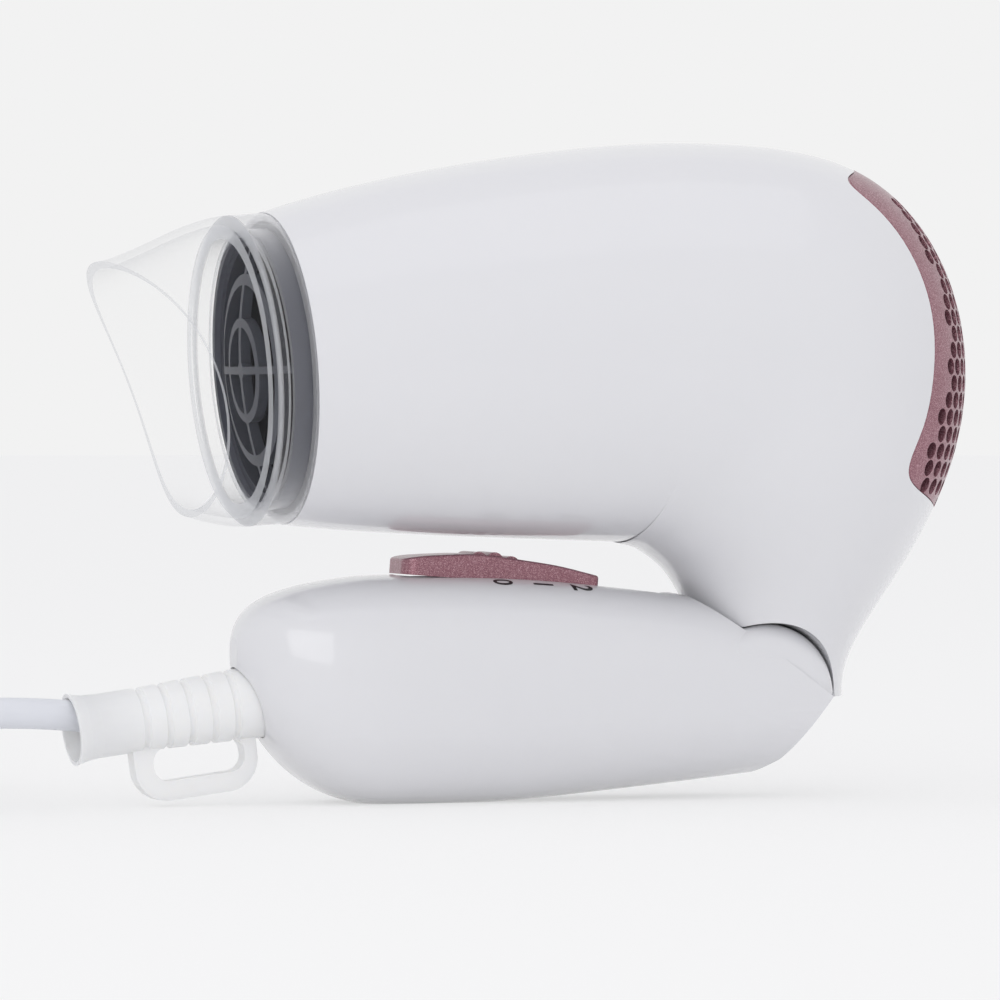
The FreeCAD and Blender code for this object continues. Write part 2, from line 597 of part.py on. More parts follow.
def mouthpiece_solid(inset):
    """From the round base to the flat oval, `inset` inside the outer face."""
    sections = []
    for step in range(7):
        share = step / 6
        ease = share * share * (3 - 2 * share)
        half_width = d.collar_radius + (d.lip_half_width - d.collar_radius) * ease
        half_height = d.collar_radius + (d.lip_half_height - d.collar_radius) * ease
        shift = 0.01 if inset and step == 0 else 0
        shift -= inset * (step == 6)
        sections.append(oval(Vector(0, 0, mouth_base + shift - d.lip_length * share), Vector(1, 0, 0),
                             half_height - inset, half_width - inset))
    return skin(sections)


lip_centre = Vector(d.lip_arc_rise, 0, -d.lip_arc_reach)
lip_cutter = disc(lip_centre, ACROSS, d.lip_arc, BIG / 4)
skirt_bore = collar_bore - d.fit_gap - d.nozzle_wall
mouthpiece = mouthpiece_solid(0).cut(mouthpiece_solid(d.nozzle_wall)).cut(lip_cutter)
mouthpiece = mouthpiece.fuse([
    ring(collar_bore - d.fit_gap, skirt_bore, mouth_base - 0.5, mouth_base + d.skirt_length),
    ring(d.collar_radius - 0.3, skirt_bore, mouth_base - 1.5, mouth_base)])
feature("nozzle_mouthpiece", mouthpiece, barrel_frame)

keep(tube("dims.sleeve_radius", "dims.sleeve_radius - dims.sleeve_thickness",
          "dims.heater_end - 3 - dims.fit_gap", "3 + dims.fit_gap"), "mica_sleeve", barrel_frame)


def mica_board(span_axis, slot_start, slot_end):
    """Board across the sleeve with notches for the windings and half a crossing slot."""
    half = d.sleeve_radius - d.sleeve_thickness - d.seat_gap
    thin = d.sleeve_thickness / 2
    slot = thin + d.seat_gap

    def block(low, high, half_thickness, start, end):
        low, high = (low, high) if low < high else (high, low)
        size = Vector(high - low, 2 * half_thickness, end - start)
        corner = Vector(low, -half_thickness, start)
        return Part.makeBox(size.x, size.y, size.z, corner)

    board = block(-half, half, thin, d.heater_start, d.heater_end)
    for side in (-1, 1):
        board = board.cut(block(side * d.winding_seat, side * (half + 1), thin + 1,
                                d.heater_start + d.winding_margin, d.heater_end - d.winding_margin))
    board = board.cut(block(-slot, slot, thin + 1, slot_start, slot_end))
    return board.rotated(Vector(), Vector(0, 0, 1), span_axis)


heater_middle = (d.heater_start + d.heater_end) / 2
feature("mica_board_upright", mica_board(0, d.heater_start - 1, heater_middle + d.seat_gap), barrel_frame)
feature("mica_board_flat", mica_board(90, heater_middle - d.seat_gap, d.heater_end + 1), barrel_frame)
winding_room = d.heater_end - d.heater_start - 2 * d.winding_margin - 2 * d.wire_radius - 1
windings = [Part.makeTorus(d.winding_seat + d.wire_radius + d.fit_gap, d.wire_radius, Vector(
    0, 0, d.heater_start + d.winding_margin + d.wire_radius + 0.5
    + winding_room * index / (d.winding_count - 1))) for index in range(int(d.winding_count))]
feature("heater_windings", Part.makeCompound(windings), barrel_frame)
cutout = primitive("Box", Length="4", Width="10", Height="8")
keep(cutout, "thermal_cutout", barrel_frame.multiply(Placement(
    Vector(d.sleeve_thickness / 2 + d.fit_gap, 2, heater_middle + 4), Rotation())))

duct_outer = d.duct_bore + 1.6
bulkhead = ring(BIG / 4, duct_outer - 0.2, d.bulkhead_start, d.bulkhead_start + d.wall)
bulkhead.Placement = barrel_frame
bulkhead = bulkhead.common(barrel_solid(d.wall + d.seat_gap, first_shift=1.0, drop_last=1))
vane = Part.makeBox(d.duct_bore - d.hub_radius + 0.4, 1.2, 18,
                    Vector(d.hub_radius - 0.2, -0.6, d.bulkhead_start - 18))
holder = ring(duct_outer, d.duct_bore, d.duct_start, d.duct_end).fuse(
    around(vane, d.vane_count)
    + [ring(d.hub_radius, d.motor_radius + d.fit_gap, d.motor_start + 2, d.bulkhead_start + 2)])
holder.Placement = barrel_frame
feature("motor_bracket", bulkhead.fuse(holder))

can = Part.makeCylinder(d.motor_radius, d.motor_length, Vector(0, 0, d.motor_start))
can = can.makeFillet(1.2, [edge for edge in can.Edges if len(edge.Vertexes) == 1])
motor_end = d.motor_start + d.motor_length
bearing = ring(3.2, d.shaft_radius + 0.5, motor_end, motor_end + 1.5)
can = can.fuse(bearing).cut(Part.makeCylinder(d.shaft_radius + d.fit_gap, BIG, Vector(0, 0, 0)))
feature("motor_can", can, barrel_frame)
shaft = primitive("Cylinder", Radius="dims.shaft_radius",
                  Height="dims.fan_start + dims.fan_depth - dims.motor_start - 1")
keep(shaft, "motor_shaft", barrel_frame.multiply(Placement(Vector(0, 0, d.motor_start + 2), Rotation())))

hub = Part.makeCylinder(d.fan_hub_radius, d.fan_depth, Vector(0, 0, d.fan_start))
hub = hub.makeFillet(3, [edge for edge in hub.Edges
                         if len(edge.Vertexes) == 1 and edge.CenterOfMass.z > d.fan_start + 1])
hub = hub.cut(Part.makeCylinder(d.fan_hub_radius - 1.5, d.fan_depth - 4, Vector(0, 0, d.fan_start - 0.1)))
blade = Part.makeBox(d.fan_radius, 1.2, d.fan_depth, Vector(0, -0.6, -d.fan_depth / 2))
blade = blade.rotated(Vector(), Vector(1, 0, 0), 38)
blade.translate(Vector(0, 0, d.fan_start + d.fan_depth / 2))
blades = Part.makeCompound(around(blade, d.blade_count)).common(
    ring(d.fan_radius, d.fan_hub_radius - 1, d.fan_start, d.fan_start + d.fan_depth))
fan = hub.fuse(blades.Solids).cut(
    Part.makeCylinder(d.shaft_radius + 0.02, d.fan_depth * 2, Vector(0, 0, d.fan_start - 1)))
fan = fan.fuse(ring(3.0, d.shaft_radius + 0.02, d.fan_start, d.fan_start + d.fan_depth - 3))
feature("axial_fan", fan, barrel_frame)

rectifier = ring(d.motor_radius - 1.5, 3.0, d.motor_start - 1.4, d.motor_start - 0.2)
diode = Part.makeBox(4, 2.4, 2, Vector(5.2, -1.2, d.motor_start - 3.3))
feature("rectifier_board", rectifier.fuse(around(diode, 4)), barrel_frame)


# ---------------------------------------------------------------- hinge
hinge_frame = Placement(hinge, Rotation(Vector(0, 0, 1), ACROSS))
slot_half_width = d.tongue_half_width + d.washer_thickness + 2 * d.fit_gap
pin = primitive("Cylinder", Radius="dims.hinge_pin_radius", Height="dims.hinge_pin_length")
pin_first = d.seat_gap - d.hinge_pin_start
keep(pin, "hinge_pin", hinge_frame.multiply(Placement(Vector(0, 0, pin_first), Rotation())))
washers = [tube("dims.washer_radius", "dims.hinge_pin_radius + dims.fit_gap", "dims.washer_thickness",
                start) for start in ("dims.tongue_half_width + dims.fit_gap",
                                     "-(dims.tongue_half_width + dims.fit_gap + dims.washer_thickness)")]
keep(fused(*washers), "hinge_washers", hinge_frame)
cap_start = pin_first + d.hinge_pin_length + d.seat_gap
hinge_cap = Part.makeCylinder(d.hinge_cap_radius, d.knuckle_half_width - cap_start - d.seat_gap,
                              Vector(0, 0, cap_start))
feature("hinge_cap", hinge_cap, hinge_frame)


# ---------------------------------------------------------------- handle
def handle_solid(inset, end_x):
    """Swept body of the handle, rounded at the cord end."""
    sections = []
    round_length = d.handle_round_length - inset
    tip = d.handle_tip_x + inset
    straight = tip + round_length
    shares = (0.01, 0.06, 0.16, 0.32, 0.53, 0.77, 1.0)
    places = [tip + share * round_length for share in shares]
    places += [straight + (end_x - straight) * share for share in (0.12, 0.28, 0.46, 0.64, 0.82, 1.0)]
    for x in places:
        taper_top = max(0.0, (x - d.top_fall_start) / d.handle_taper_length)
        taper_heel = max(0.0, (x - d.heel_rise_start) / d.handle_taper_length)
        top = d.handle_crown - d.top_fall * taper_top ** 1.6
        heel = -d.rest_flat_depth + d.heel_rise * taper_heel ** 1.2
        rest = max(0.0, 1 - (x - tip) / round_length)
        swell = math.sqrt(1 - rest ** 2)
        centre = Vector(x, 0, (top + heel) / 2 + d.handle_tip_lift * rest ** 2.5)
        sections.append(oval(centre, Vector(0, 0, 1), ((top - heel) / 2 - inset) * swell,
                             (d.handle_half_width - inset) * swell, d.handle_power))
    return skin(sections)


switch_frame = frame(Vector(d.switch_x, 0, d.switch_height), direction(-d.switch_fall),
                     direction(90 - d.switch_fall))
relief_axis = direction(d.relief_slope)
relief_frame = frame(Vector(d.relief_x, 0, d.relief_height), direction(d.relief_slope + 90), relief_axis)
travel = 2 * d.switch_step


def switch_block(low_x, high_x, half_width, low_z, high_z):
    """Block in the switch frame, returned in its place."""
    block = Part.makeBox(high_x - low_x, 2 * half_width, high_z - low_z,
                         Vector(low_x, -half_width, low_z))
    block.Placement = switch_frame
    return block


stem_start = d.stem_position
body_start = stem_start - d.switch_body_wall - 4
track = switch_block(-0.6, d.slider_length + travel + 0.6, d.slider_half_width + d.free_gap, 0, 30)
track_pad = switch_block(body_start - 1, body_start + d.switch_body_length + 1,
                         d.switch_body_half_width + 1, -d.track_depth, 10)
stem_slot = switch_block(stem_start - d.free_gap, stem_start + d.stem_length + travel + d.free_gap,
                         d.stem_half_width + d.free_gap, -d.track_depth - 1, 1)

HANDLE_SCREWS = [Vector(-16, 11, d.handle_screw_seat), Vector(40, 0, d.handle_screw_seat + 2)]
handle_bosses = [Part.makeCylinder(head_room + d.boss_wall, 60, Vector(place.x, place.y, -5))
                 for place in HANDLE_SCREWS]
handle_boss_holes = []
for place in HANDLE_SCREWS:
    handle_boss_holes.append(Part.makeCylinder(head_room, BIG / 4, place, UP.negative()))
    handle_boss_holes.append(Part.makeCylinder(d.screw_radius + d.fit_gap, d.handle_screw_length + 1,
                                               place, UP))

handle_outer = handle_solid(0.0, d.handle_loft_end)
handle_inside = handle_solid(d.wall, d.handle_cavity_end)
neck_offset = (neck_inner - hinge).dot(neck_up)
knuckle = disc(hinge, ACROSS, d.knuckle_radius, d.knuckle_half_width)
knuckle = knuckle.makeFillet(d.knuckle_round, [edge for edge in knuckle.Edges
                                               if len(edge.Vertexes) == 1])
knuckle = knuckle.cut(half_space(hinge - UP * d.knuckle_depth, UP.negative()))
above_neck = half_space(hinge + neck_up * (neck_offset - d.free_gap), neck_up)
handle = handle_outer.cut(above_neck)
handle = handle.cut(handle_inside.cut(Part.makeCompound(handle_bosses + [track_pad])))
handle = handle.fuse(knuckle)
for angle, reach in ((d.heel_angle, d.heel_reach), (d.heel_corner_angle, d.heel_corner_reach)):
    handle = handle.cut(half_space(hinge + direction(angle) * reach, direction(angle)))
relief_hole = Part.makeCylinder(d.relief_root_radius + d.seat_gap,
                                d.relief_length - d.relief_flange_thickness)
relief_hole.Placement = relief_frame
cap_bore = Part.makeCylinder(d.hinge_cap_radius + d.fit_gap, BIG / 4, hinge + ACROSS * (cap_start - 0.05),
                             ACROSS)
handle_pin_bore = Part.makeCylinder(d.hinge_pin_radius + 0.02, BIG / 4,
                                    hinge - ACROSS * d.hinge_pin_start, ACROSS)
handle = handle.cut(Part.makeCompound([
    disc(hinge, ACROSS, seat_radius + d.free_gap, slot_half_width), half_space(Vector(), UP.negative()),
    track, relief_hole]))
handle = handle.cut(Part.makeCompound(handle_boss_holes + [stem_slot]))
handle = handle.cut(cap_bore.fuse(handle_pin_bore))

seam_up = direction(90 + d.seam_slope)
seam_point = Vector(0, 0, d.seam_height)
front_shell = handle.cut(half_space(seam_point, seam_up.negative()))
back_shell = handle.cut(half_space(seam_point, seam_up))

saddle = Part.makeBox(60, 2 * d.clamp_half_width, d.clamp_length,
                      Vector(-60 - d.seat_gap, -d.clamp_half_width, d.clamp_start))
saddle = saddle.cut(Part.makeCylinder(d.cord_radius + d.fit_gap, BIG))
clamp = Part.makeBox(d.clamp_thickness, 2 * d.clamp_half_width, d.clamp_length,
                     Vector(d.seat_gap, -d.clamp_half_width, d.clamp_start))
clamp = clamp.cut(Part.makeCylinder(d.cord_radius + d.fit_gap, BIG))
clamp_axis = direction(d.relief_slope + 90)
clamp_places = [relief_frame.multVec(Vector(d.clamp_thickness, side * d.clamp_screw_offset,
                                            d.clamp_start + d.clamp_length / 2)) for side in (-1, 1)]
clamp_holes = Part.makeCompound([Part.makeCylinder(
    d.clamp_screw_radius + d.fit_gap, d.clamp_screw_length + 1, place + clamp_axis * 0.5,
    clamp_axis.negative()) for place in clamp_places])
saddle.Placement = relief_frame
clamp.Placement = relief_frame
saddle = saddle.common(handle_solid(d.wall - 0.3, d.handle_cavity_end))
back_shell = back_shell.fuse(saddle).cut(clamp_holes)
feature("handle_front_shell", front_shell)
feature("handle_back_shell", back_shell)
feature("cord_clamp", clamp.cut(clamp_holes))
screw_set("clamp_screws", clamp_places, clamp_axis, d.clamp_screw_length, d.clamp_screw_radius,
          d.clamp_screw_radius + 1)
screw_set("handle_screws", HANDLE_SCREWS, UP.negative(), d.handle_screw_length, d.screw_radius,
          d.screw_head_radius)


# ---------------------------------------------------------------- switch
SLIDER_TOP = ((0.0, -2.0), (1.2, -1.65), (8.0, -0.6), (15.1, 0.0), (24.0, -0.45), (32.6, -1.2),
              (38.9, -2.25), (d.slider_length, -2.6))
SLIDER_RIBS = ((15.8, 0.5), (19.1, 0.65), (22.6, 0.1))
back = Part.BSplineCurve()
back.interpolate([Vector(along, -d.slider_half_width, d.slider_crown + fall)
                  for along, fall in SLIDER_TOP])
sole = [Vector(along, -d.slider_half_width, d.slider_lift) for along in (0, d.slider_length)]
profile = Part.Wire([back.toShape(), Part.makeLine(back.EndPoint, sole[1]),
                     Part.makeLine(sole[1], sole[0]), Part.makeLine(sole[0], back.StartPoint)])
slider = Part.Face(profile).extrude(ACROSS * (2 * d.slider_half_width))
for low, high, radius in ((-1, 1, d.slider_nose_round),
                          (d.slider_length - 1, d.slider_length + 1, d.slider_tail_round)):
    slider = slider.makeFillet(radius, [
        edge for edge in slider.Edges if low < edge.CenterOfMass.x < high
        and edge.BoundBox.ZLength > 1 and edge.BoundBox.YLength < 0.01])
slider = slider.makeFillet(d.slider_edge_round, [
    edge for edge in slider.Edges if edge.BoundBox.ZMin > d.slider_lift + 1])
grips = [Part.makeCylinder(d.rib_radius, 1.5 * d.slider_half_width,
                           Vector(along, -0.75 * d.slider_half_width,
                                  d.slider_crown + rise - d.rib_radius), ACROSS)
         for along, rise in SLIDER_RIBS]
stem = Part.makeBox(d.stem_length, 2 * d.stem_half_width, d.stem_reach + 1,
                    Vector(stem_start, -d.stem_half_width, d.slider_lift - d.stem_reach))
feature("switch_slider", slider.fuse(grips + [stem]), switch_frame)
contact_top = d.slider_lift - d.stem_reach - d.fit_gap
feature("switch_contact", Part.makeBox(d.stem_length + 3, 2 * d.stem_half_width + 2, d.contact_thickness,
                                       Vector(stem_start - 1.5, -d.stem_half_width - 1,
                                              contact_top - d.contact_thickness)), switch_frame)
body_top = -d.track_depth - d.seat_gap
switch_case = Part.makeBox(d.switch_body_length, 2 * d.switch_body_half_width, d.switch_body_depth,
                           Vector(body_start, -d.switch_body_half_width, body_top - d.switch_body_depth))
hollow = d.switch_body_wall
switch_case = switch_case.cut(Part.makeBox(
    d.switch_body_length - 2 * hollow, 2 * (d.switch_body_half_width - hollow), d.switch_body_depth,
    Vector(body_start + hollow, hollow - d.switch_body_half_width,
           body_top - d.switch_body_depth + hollow)))
feature("switch_body", switch_case, switch_frame)
board_top = body_top - d.switch_body_depth - d.fit_gap
board = primitive("Box", Length="dims.board_length", Width="2 * dims.board_half_width",
                  Height="dims.board_thickness")
keep(board, "control_board", switch_frame.multiply(Placement(
    Vector(d.board_start, -d.board_half_width, board_top - d.board_thickness), Rotation())))
capacitor = Part.makeBox(d.capacitor_length, 2 * d.capacitor_half_width, d.capacitor_depth,
                         Vector(body_start + d.switch_body_length + 0.6, -d.capacitor_half_width,
                                board_top + d.fit_gap))
capacitor = capacitor.makeFillet(1, [edge for edge in capacitor.Edges
                                     if edge.BoundBox.ZMin > board_top + d.capacitor_depth - 0.1])
feature("suppression_capacitor", capacitor, switch_frame)


# ---------------------------------------------------------------- strain relief
def relief_radius(place):
    """Outer radius along the strain relief, which flares at its mouth and grows to the handle."""
    flare = (d.relief_mouth_radius - d.relief_tube_radius) * max(0.0, 1 - place / 5) ** 2
    share = max(0.0, (place - d.ridge_start) / (d.relief_length - d.ridge_start - 8))
    return d.relief_tube_radius + flare + (d.relief_root_radius - d.relief_tube_radius) * min(1, share)


stations = [0, 1.2, 2.6, 5, d.ridge_start, d.relief_length - 8, d.relief_length]
profile = [Vector(relief_radius(place), 0, place) for place in stations]
profile = [Vector(0, 0, 0)] + profile + [Vector(0, 0, d.relief_length), Vector(0, 0, 0)]
relief = Part.Face(Part.makePolygon(profile)).revolve(Vector(), Vector(0, 0, 1), 360)
grooves = []
for index in range(int(d.ridge_count)):
    place = d.ridge_start + index * d.ridge_pitch
    grooves.append(Part.makeTorus(relief_radius(place) + 0.15, d.ridge_groove, Vector(0, 0, place)))
relief = relief.cut(Part.makeCompound(grooves))


def rounded_plate(low, high, radius, half_thickness):
    """Plate in the plane of local X and Z with rounded corners."""
    plate = Part.makeBox(high[0] - low[0], 2 * half_thickness, high[1] - low[1],
                         Vector(low[0], -half_thickness, low[1]))
    corners = [edge for edge in plate.Edges
               if abs(edge.Vertexes[0].Y - edge.Vertexes[1].Y) > half_thickness]
    return plate.makeFillet(radius, corners)


loop = rounded_plate((-d.loop_drop, d.loop_start), (0, d.loop_end), d.loop_corner, d.loop_thickness / 2)
hole_drop = d.loop_drop - d.loop_bar
loop_hole = rounded_plate((-hole_drop, d.loop_start + d.loop_bar),
                          (-d.loop_hole_top, d.loop_end - d.loop_rear_bar),
                          (hole_drop - d.loop_hole_top) * 0.45, d.loop_thickness)
flange = Part.makeCylinder(d.relief_flange_radius, d.relief_flange_thickness,
                           Vector(0, 0, d.relief_length - d.relief_flange_thickness))
relief = relief.fuse([loop.cut(loop_hole), flange]).cut(Part.makeCompound([
    Part.makeCylinder(d.cord_radius + d.fit_gap, BIG / 4, Vector(0, 0, -1))]))
relief = relief.cut(Part.makeCone(d.relief_socket_mouth, d.relief_socket_radius, d.relief_socket_depth))
feature("strain_relief", relief, relief_frame)


# ---------------------------------------------------------------- cord
def smooth_route(points):
    """Straight runs joined by tangent arcs, each as large as its two runs allow."""
    points = [Vector(*point) for point in points]
    edges = []
    radii = []
    current = points[0]
    for before, corner, after in zip(points, points[1:], points[2:]):
        arrive = (corner - before).normalize()
        leave = (after - corner).normalize()
        cut_back = 0.45 * min((corner - before).Length, (after - corner).Length)
        half_turn = arrive.getAngle(leave) / 2
        radii.append(cut_back / math.tan(half_turn))
        first = corner - arrive * cut_back
        last = corner + leave * cut_back
        inward = (leave - arrive).normalize()
        middle = corner + inward * (radii[-1] * (1 / math.cos(half_turn) - 1))
        edges.append(Part.LineSegment(current, first).toShape())
        edges.append(Part.Arc(first, middle, last).toShape())
        current = last
    edges.append(Part.LineSegment(current, points[-1]).toShape())
    return Part.Wire(edges), radii


def cord_solid(label, points):
    path, radii = smooth_route(points)
    start = Vector(*points[0])
    heading = (Vector(*points[1]) - start).normalize()
    section = Part.Wire(Part.makeCircle(d.cord_radius, start, heading))
    solid = path.makePipeShell([section], True, False)
    expected = math.pi * d.cord_radius ** 2 * path.Length
    print(f"{label}: length {path.Length:.1f}, radii {[round(radius, 1) for radius in radii]}, "
          f"volume against section x length {solid.Volume / expected:.4f}")
    return feature(label, solid)


bell_bottom = relief_frame.multVec(Vector(0, 0, d.relief_socket_depth))
cord_solid("cord_tube", [tuple(bell_bottom)] + CORD_ROUTE)
cord_solid("cord_tail", TAIL_ROUTE)
lead_start = d.clamp_start + d.clamp_length + 2
inner_end = primitive("Cylinder", Radius="dims.cord_radius",
                      Height="dims.clamp_start + dims.clamp_length + 2 - dims.relief_socket_depth")
keep(inner_end, "cord_inner_end", relief_frame.multiply(Placement(
    Vector(0, 0, d.relief_socket_depth), Rotation())))
leads = []
board_edge = switch_frame.multVec(Vector(d.board_start - d.lead_radius, 0,
                                         board_top - d.board_thickness / 2))
cord_cut = relief_frame.multVec(Vector(0, 0, lead_start + 0.5))
for side in (-1, 1):
    offset = ACROSS * (side * (d.lead_radius + 0.4))
    leads.append(Part.makeCylinder(d.lead_radius, (board_edge - cord_cut).Length, cord_cut + offset,
                                   board_edge - cord_cut))
feature("supply_leads", Part.makeCompound(leads))

coil_height = d.coil_section + d.tie_slack + d.tie_thickness
coil = primitive("Torus", Radius1="dims.coil_radius", Radius2="dims.coil_section")
keep(coil, "cord_coil", Placement(Vector(d.coil_x, d.coil_y, coil_height), Rotation()))
around_coil = Vector(math.cos(math.radians(d.tie_angle)), math.sin(math.radians(d.tie_angle)), 0)
tie_place = Vector(d.coil_x, d.coil_y, coil_height) + around_coil * d.coil_radius
keep(tube("dims.coil_section + dims.tie_slack + dims.tie_thickness",
          "dims.coil_section + dims.tie_slack", "dims.tie_width",
          "-dims.tie_width / 2"), "cable_tie",
     Placement(tie_place, Rotation(Vector(0, 0, 1), Vector(-around_coil.y, around_coil.x, 0))))

tail_end = Vector(*TAIL_ROUTE[-1])
plug_axis = (tail_end - Vector(*TAIL_ROUTE[-2])).normalize()
plug_axis = Vector(plug_axis.x, plug_axis.y, 0).normalize()
plug_frame = frame(Vector(tail_end.x, tail_end.y, tail_end.z), UP, plug_axis)
keep(primitive("Cone", Radius1="dims.cord_radius + 0.5", Radius2="dims.plug_relief_radius",
               Height="dims.plug_relief_length"), "plug_relief", plug_frame)
plug_body = Part.makeBox(2 * d.plug_half_height, 2 * d.plug_half_width, d.plug_length,
                         Vector(-d.plug_half_height, -d.plug_half_width, d.plug_relief_length))
plug_body = plug_body.makeFillet(d.plug_round, [edge for edge in plug_body.Edges
                                                if edge.BoundBox.ZLength > d.plug_length / 2
                                                or edge.BoundBox.ZMax < d.plug_relief_length + 1])
feature("plug_body", plug_body, plug_frame)
face = d.plug_relief_length + d.plug_length
pins = []
for side in (-1, 1):
    plug_pin = Part.makeCylinder(d.plug_pin_radius, d.plug_pin_length,
                                 Vector(0, side * d.plug_pin_offset, face))
    tip = [edge for edge in plug_pin.Edges if len(edge.Vertexes) == 1
           and edge.BoundBox.ZMin > face + 1]
    pins.append(plug_pin.makeFillet(d.plug_pin_radius * 0.8, tip))
feature("plug_pins", Part.makeCompound(pins), plug_frame)


# ---------------------------------------------------------------- check and export
doc.recompute()
for obj in doc.Objects:
    if "Invalid" in obj.State or "Error" in obj.State:
        raise RuntimeError(f"{obj.Label} failed: {obj.State}")
for obj in nodes:
    if obj.Shape.isNull() or not obj.Shape.isValid():
        raise RuntimeError(f"{obj.Label} has no valid shape")
os.makedirs("parts", exist_ok=True)
for obj in nodes:
    obj.Shape.exportStep(f"parts/{obj.Label}.step")
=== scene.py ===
"""A folding hair dryer lying folded: materials, lights and camera, and the pieces that are made
here rather than in the solid model.  Lengths are in metres."""
import json
import math

import bmesh
import bpy
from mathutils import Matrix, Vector
from mathutils.bvhtree import BVHTree


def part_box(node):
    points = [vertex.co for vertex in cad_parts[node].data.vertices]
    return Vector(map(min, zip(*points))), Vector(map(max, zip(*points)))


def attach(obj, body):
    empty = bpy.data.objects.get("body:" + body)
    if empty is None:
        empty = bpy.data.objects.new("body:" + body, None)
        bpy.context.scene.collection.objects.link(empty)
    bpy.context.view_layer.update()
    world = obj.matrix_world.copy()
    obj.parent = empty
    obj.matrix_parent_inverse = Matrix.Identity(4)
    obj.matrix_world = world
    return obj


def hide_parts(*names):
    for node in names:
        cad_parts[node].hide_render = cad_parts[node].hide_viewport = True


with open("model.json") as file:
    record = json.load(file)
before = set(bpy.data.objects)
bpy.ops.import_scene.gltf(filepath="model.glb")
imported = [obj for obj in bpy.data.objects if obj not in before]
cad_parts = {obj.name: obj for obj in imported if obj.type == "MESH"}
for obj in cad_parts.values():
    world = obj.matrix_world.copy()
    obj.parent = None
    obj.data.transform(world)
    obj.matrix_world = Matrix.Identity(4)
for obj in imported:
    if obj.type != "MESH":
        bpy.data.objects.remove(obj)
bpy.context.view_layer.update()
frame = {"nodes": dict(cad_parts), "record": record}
MM = 0.001


def colour(red, green, blue):
    """Linear colour from display values 0 to 255."""
    def linear(value):
        value /= 255
        return value / 12.92 if value <= 0.04045 else ((value + 0.055) / 1.055) ** 2.4
    return (linear(red), linear(green), linear(blue), 1.0)


# ---------------------------------------------------------------- camera
CAMERA_TARGET = Vector((0.0105, 0.0, 0.060))
CAMERA_AZIMUTH = math.radians(-18.5)
CAMERA_ELEVATION = math.radians(1.0)
CAMERA_DISTANCE = 1.5
CAMERA_LENS_MM = 270
CAMERA_SENSOR_MM = 36
CAMERA_REACH = 20


def place_camera(target, azimuth, elevation, distance):
    """Camera at `distance` from the target, turned about the vertical and raised."""
    back = Vector((math.sin(azimuth) * math.cos(elevation),
                   -math.cos(azimuth) * math.cos(elevation), math.sin(elevation)))
    data = bpy.data.cameras.new("camera")
    data.lens = CAMERA_LENS_MM
    data.sensor_width = CAMERA_SENSOR_MM
    data.clip_end = CAMERA_REACH
    camera = bpy.data.objects.new("camera", data)
    camera.location = target + back * distance
    camera.rotation_euler = back.to_track_quat("Z", "Y").to_euler()
    bpy.context.collection.objects.link(camera)
    bpy.context.scene.camera = camera


place_camera(CAMERA_TARGET, CAMERA_AZIMUTH, CAMERA_ELEVATION, CAMERA_DISTANCE)


# ---------------------------------------------------------------- cord
# The route's points are in millimetres: out of the bell, the coil, and from it to the plug.
CORD_DIAMETER = 0.0062
BELL_BOTTOM = (-66.4, 0.0, 16.9)
CORD_ROUTE = [(-77.0, 0.0, 18.1), (-87.5, 0.0, 18.8), (-97.7, 0.0, 18.9), (-106.7, -2.5, 18.4),
              (-114.6, -7.3, 17.3)]
TAIL_ROUTE = [(-182.3, 13.9, 10.1), (-184.7, 24.1, 9.8), (-186.1, 34.5, 9.6), (-186.1, 43.5, 9.75),
              (-184.3, 50.5, 10.2), (-180.8, 56.8, 10.85), (-175.8, 62.0, 11.55),
              (-169.7, 65.8, 12.15), (-162.9, 67.95, 12.5), (-155.7, 68.35, 12.5)]
COIL_CENTRE = (-143.0, 13.0, 10.22)
# Radius of each turn, and its height above or below the middle of the coil.
COIL_LAY = [(34.6, 5.37), (28.4, 5.37), (25.3, 0.0), (31.5, 0.0), (28.4, -5.37), (34.6, -5.37),
            (37.7, 0.0), (37.7, 0.0)]
COIL_FIRST_ANGLE = 307.0
COIL_TURNED = 6 * 360 + 103.0
COIL_STEP_FROM = 0.7
POINTS_PER_TURN = 20


def coil_points():
    """Turns that lie beside and on each other; each steps to the next near its end."""
    points = []
    count = int(COIL_TURNED / 360 * POINTS_PER_TURN)
    for index in range(count + 1):
        turned = COIL_TURNED * index / count
        lap = int(turned // 360)
        step = min(1.0, max(0.0, (turned / 360 - lap - COIL_STEP_FROM) / (1.0 - COIL_STEP_FROM)))
        step = step * step * (3 - 2 * step)
        here, after = COIL_LAY[lap], COIL_LAY[lap + 1]
        radius = here[0] + (after[0] - here[0]) * step
        height = here[1] + (after[1] - here[1]) * step
        angle = math.radians(COIL_FIRST_ANGLE - turned)
        points.append((COIL_CENTRE[0] + radius * math.cos(angle),
                       COIL_CENTRE[1] + radius * math.sin(angle), COIL_CENTRE[2] + height))
    return points


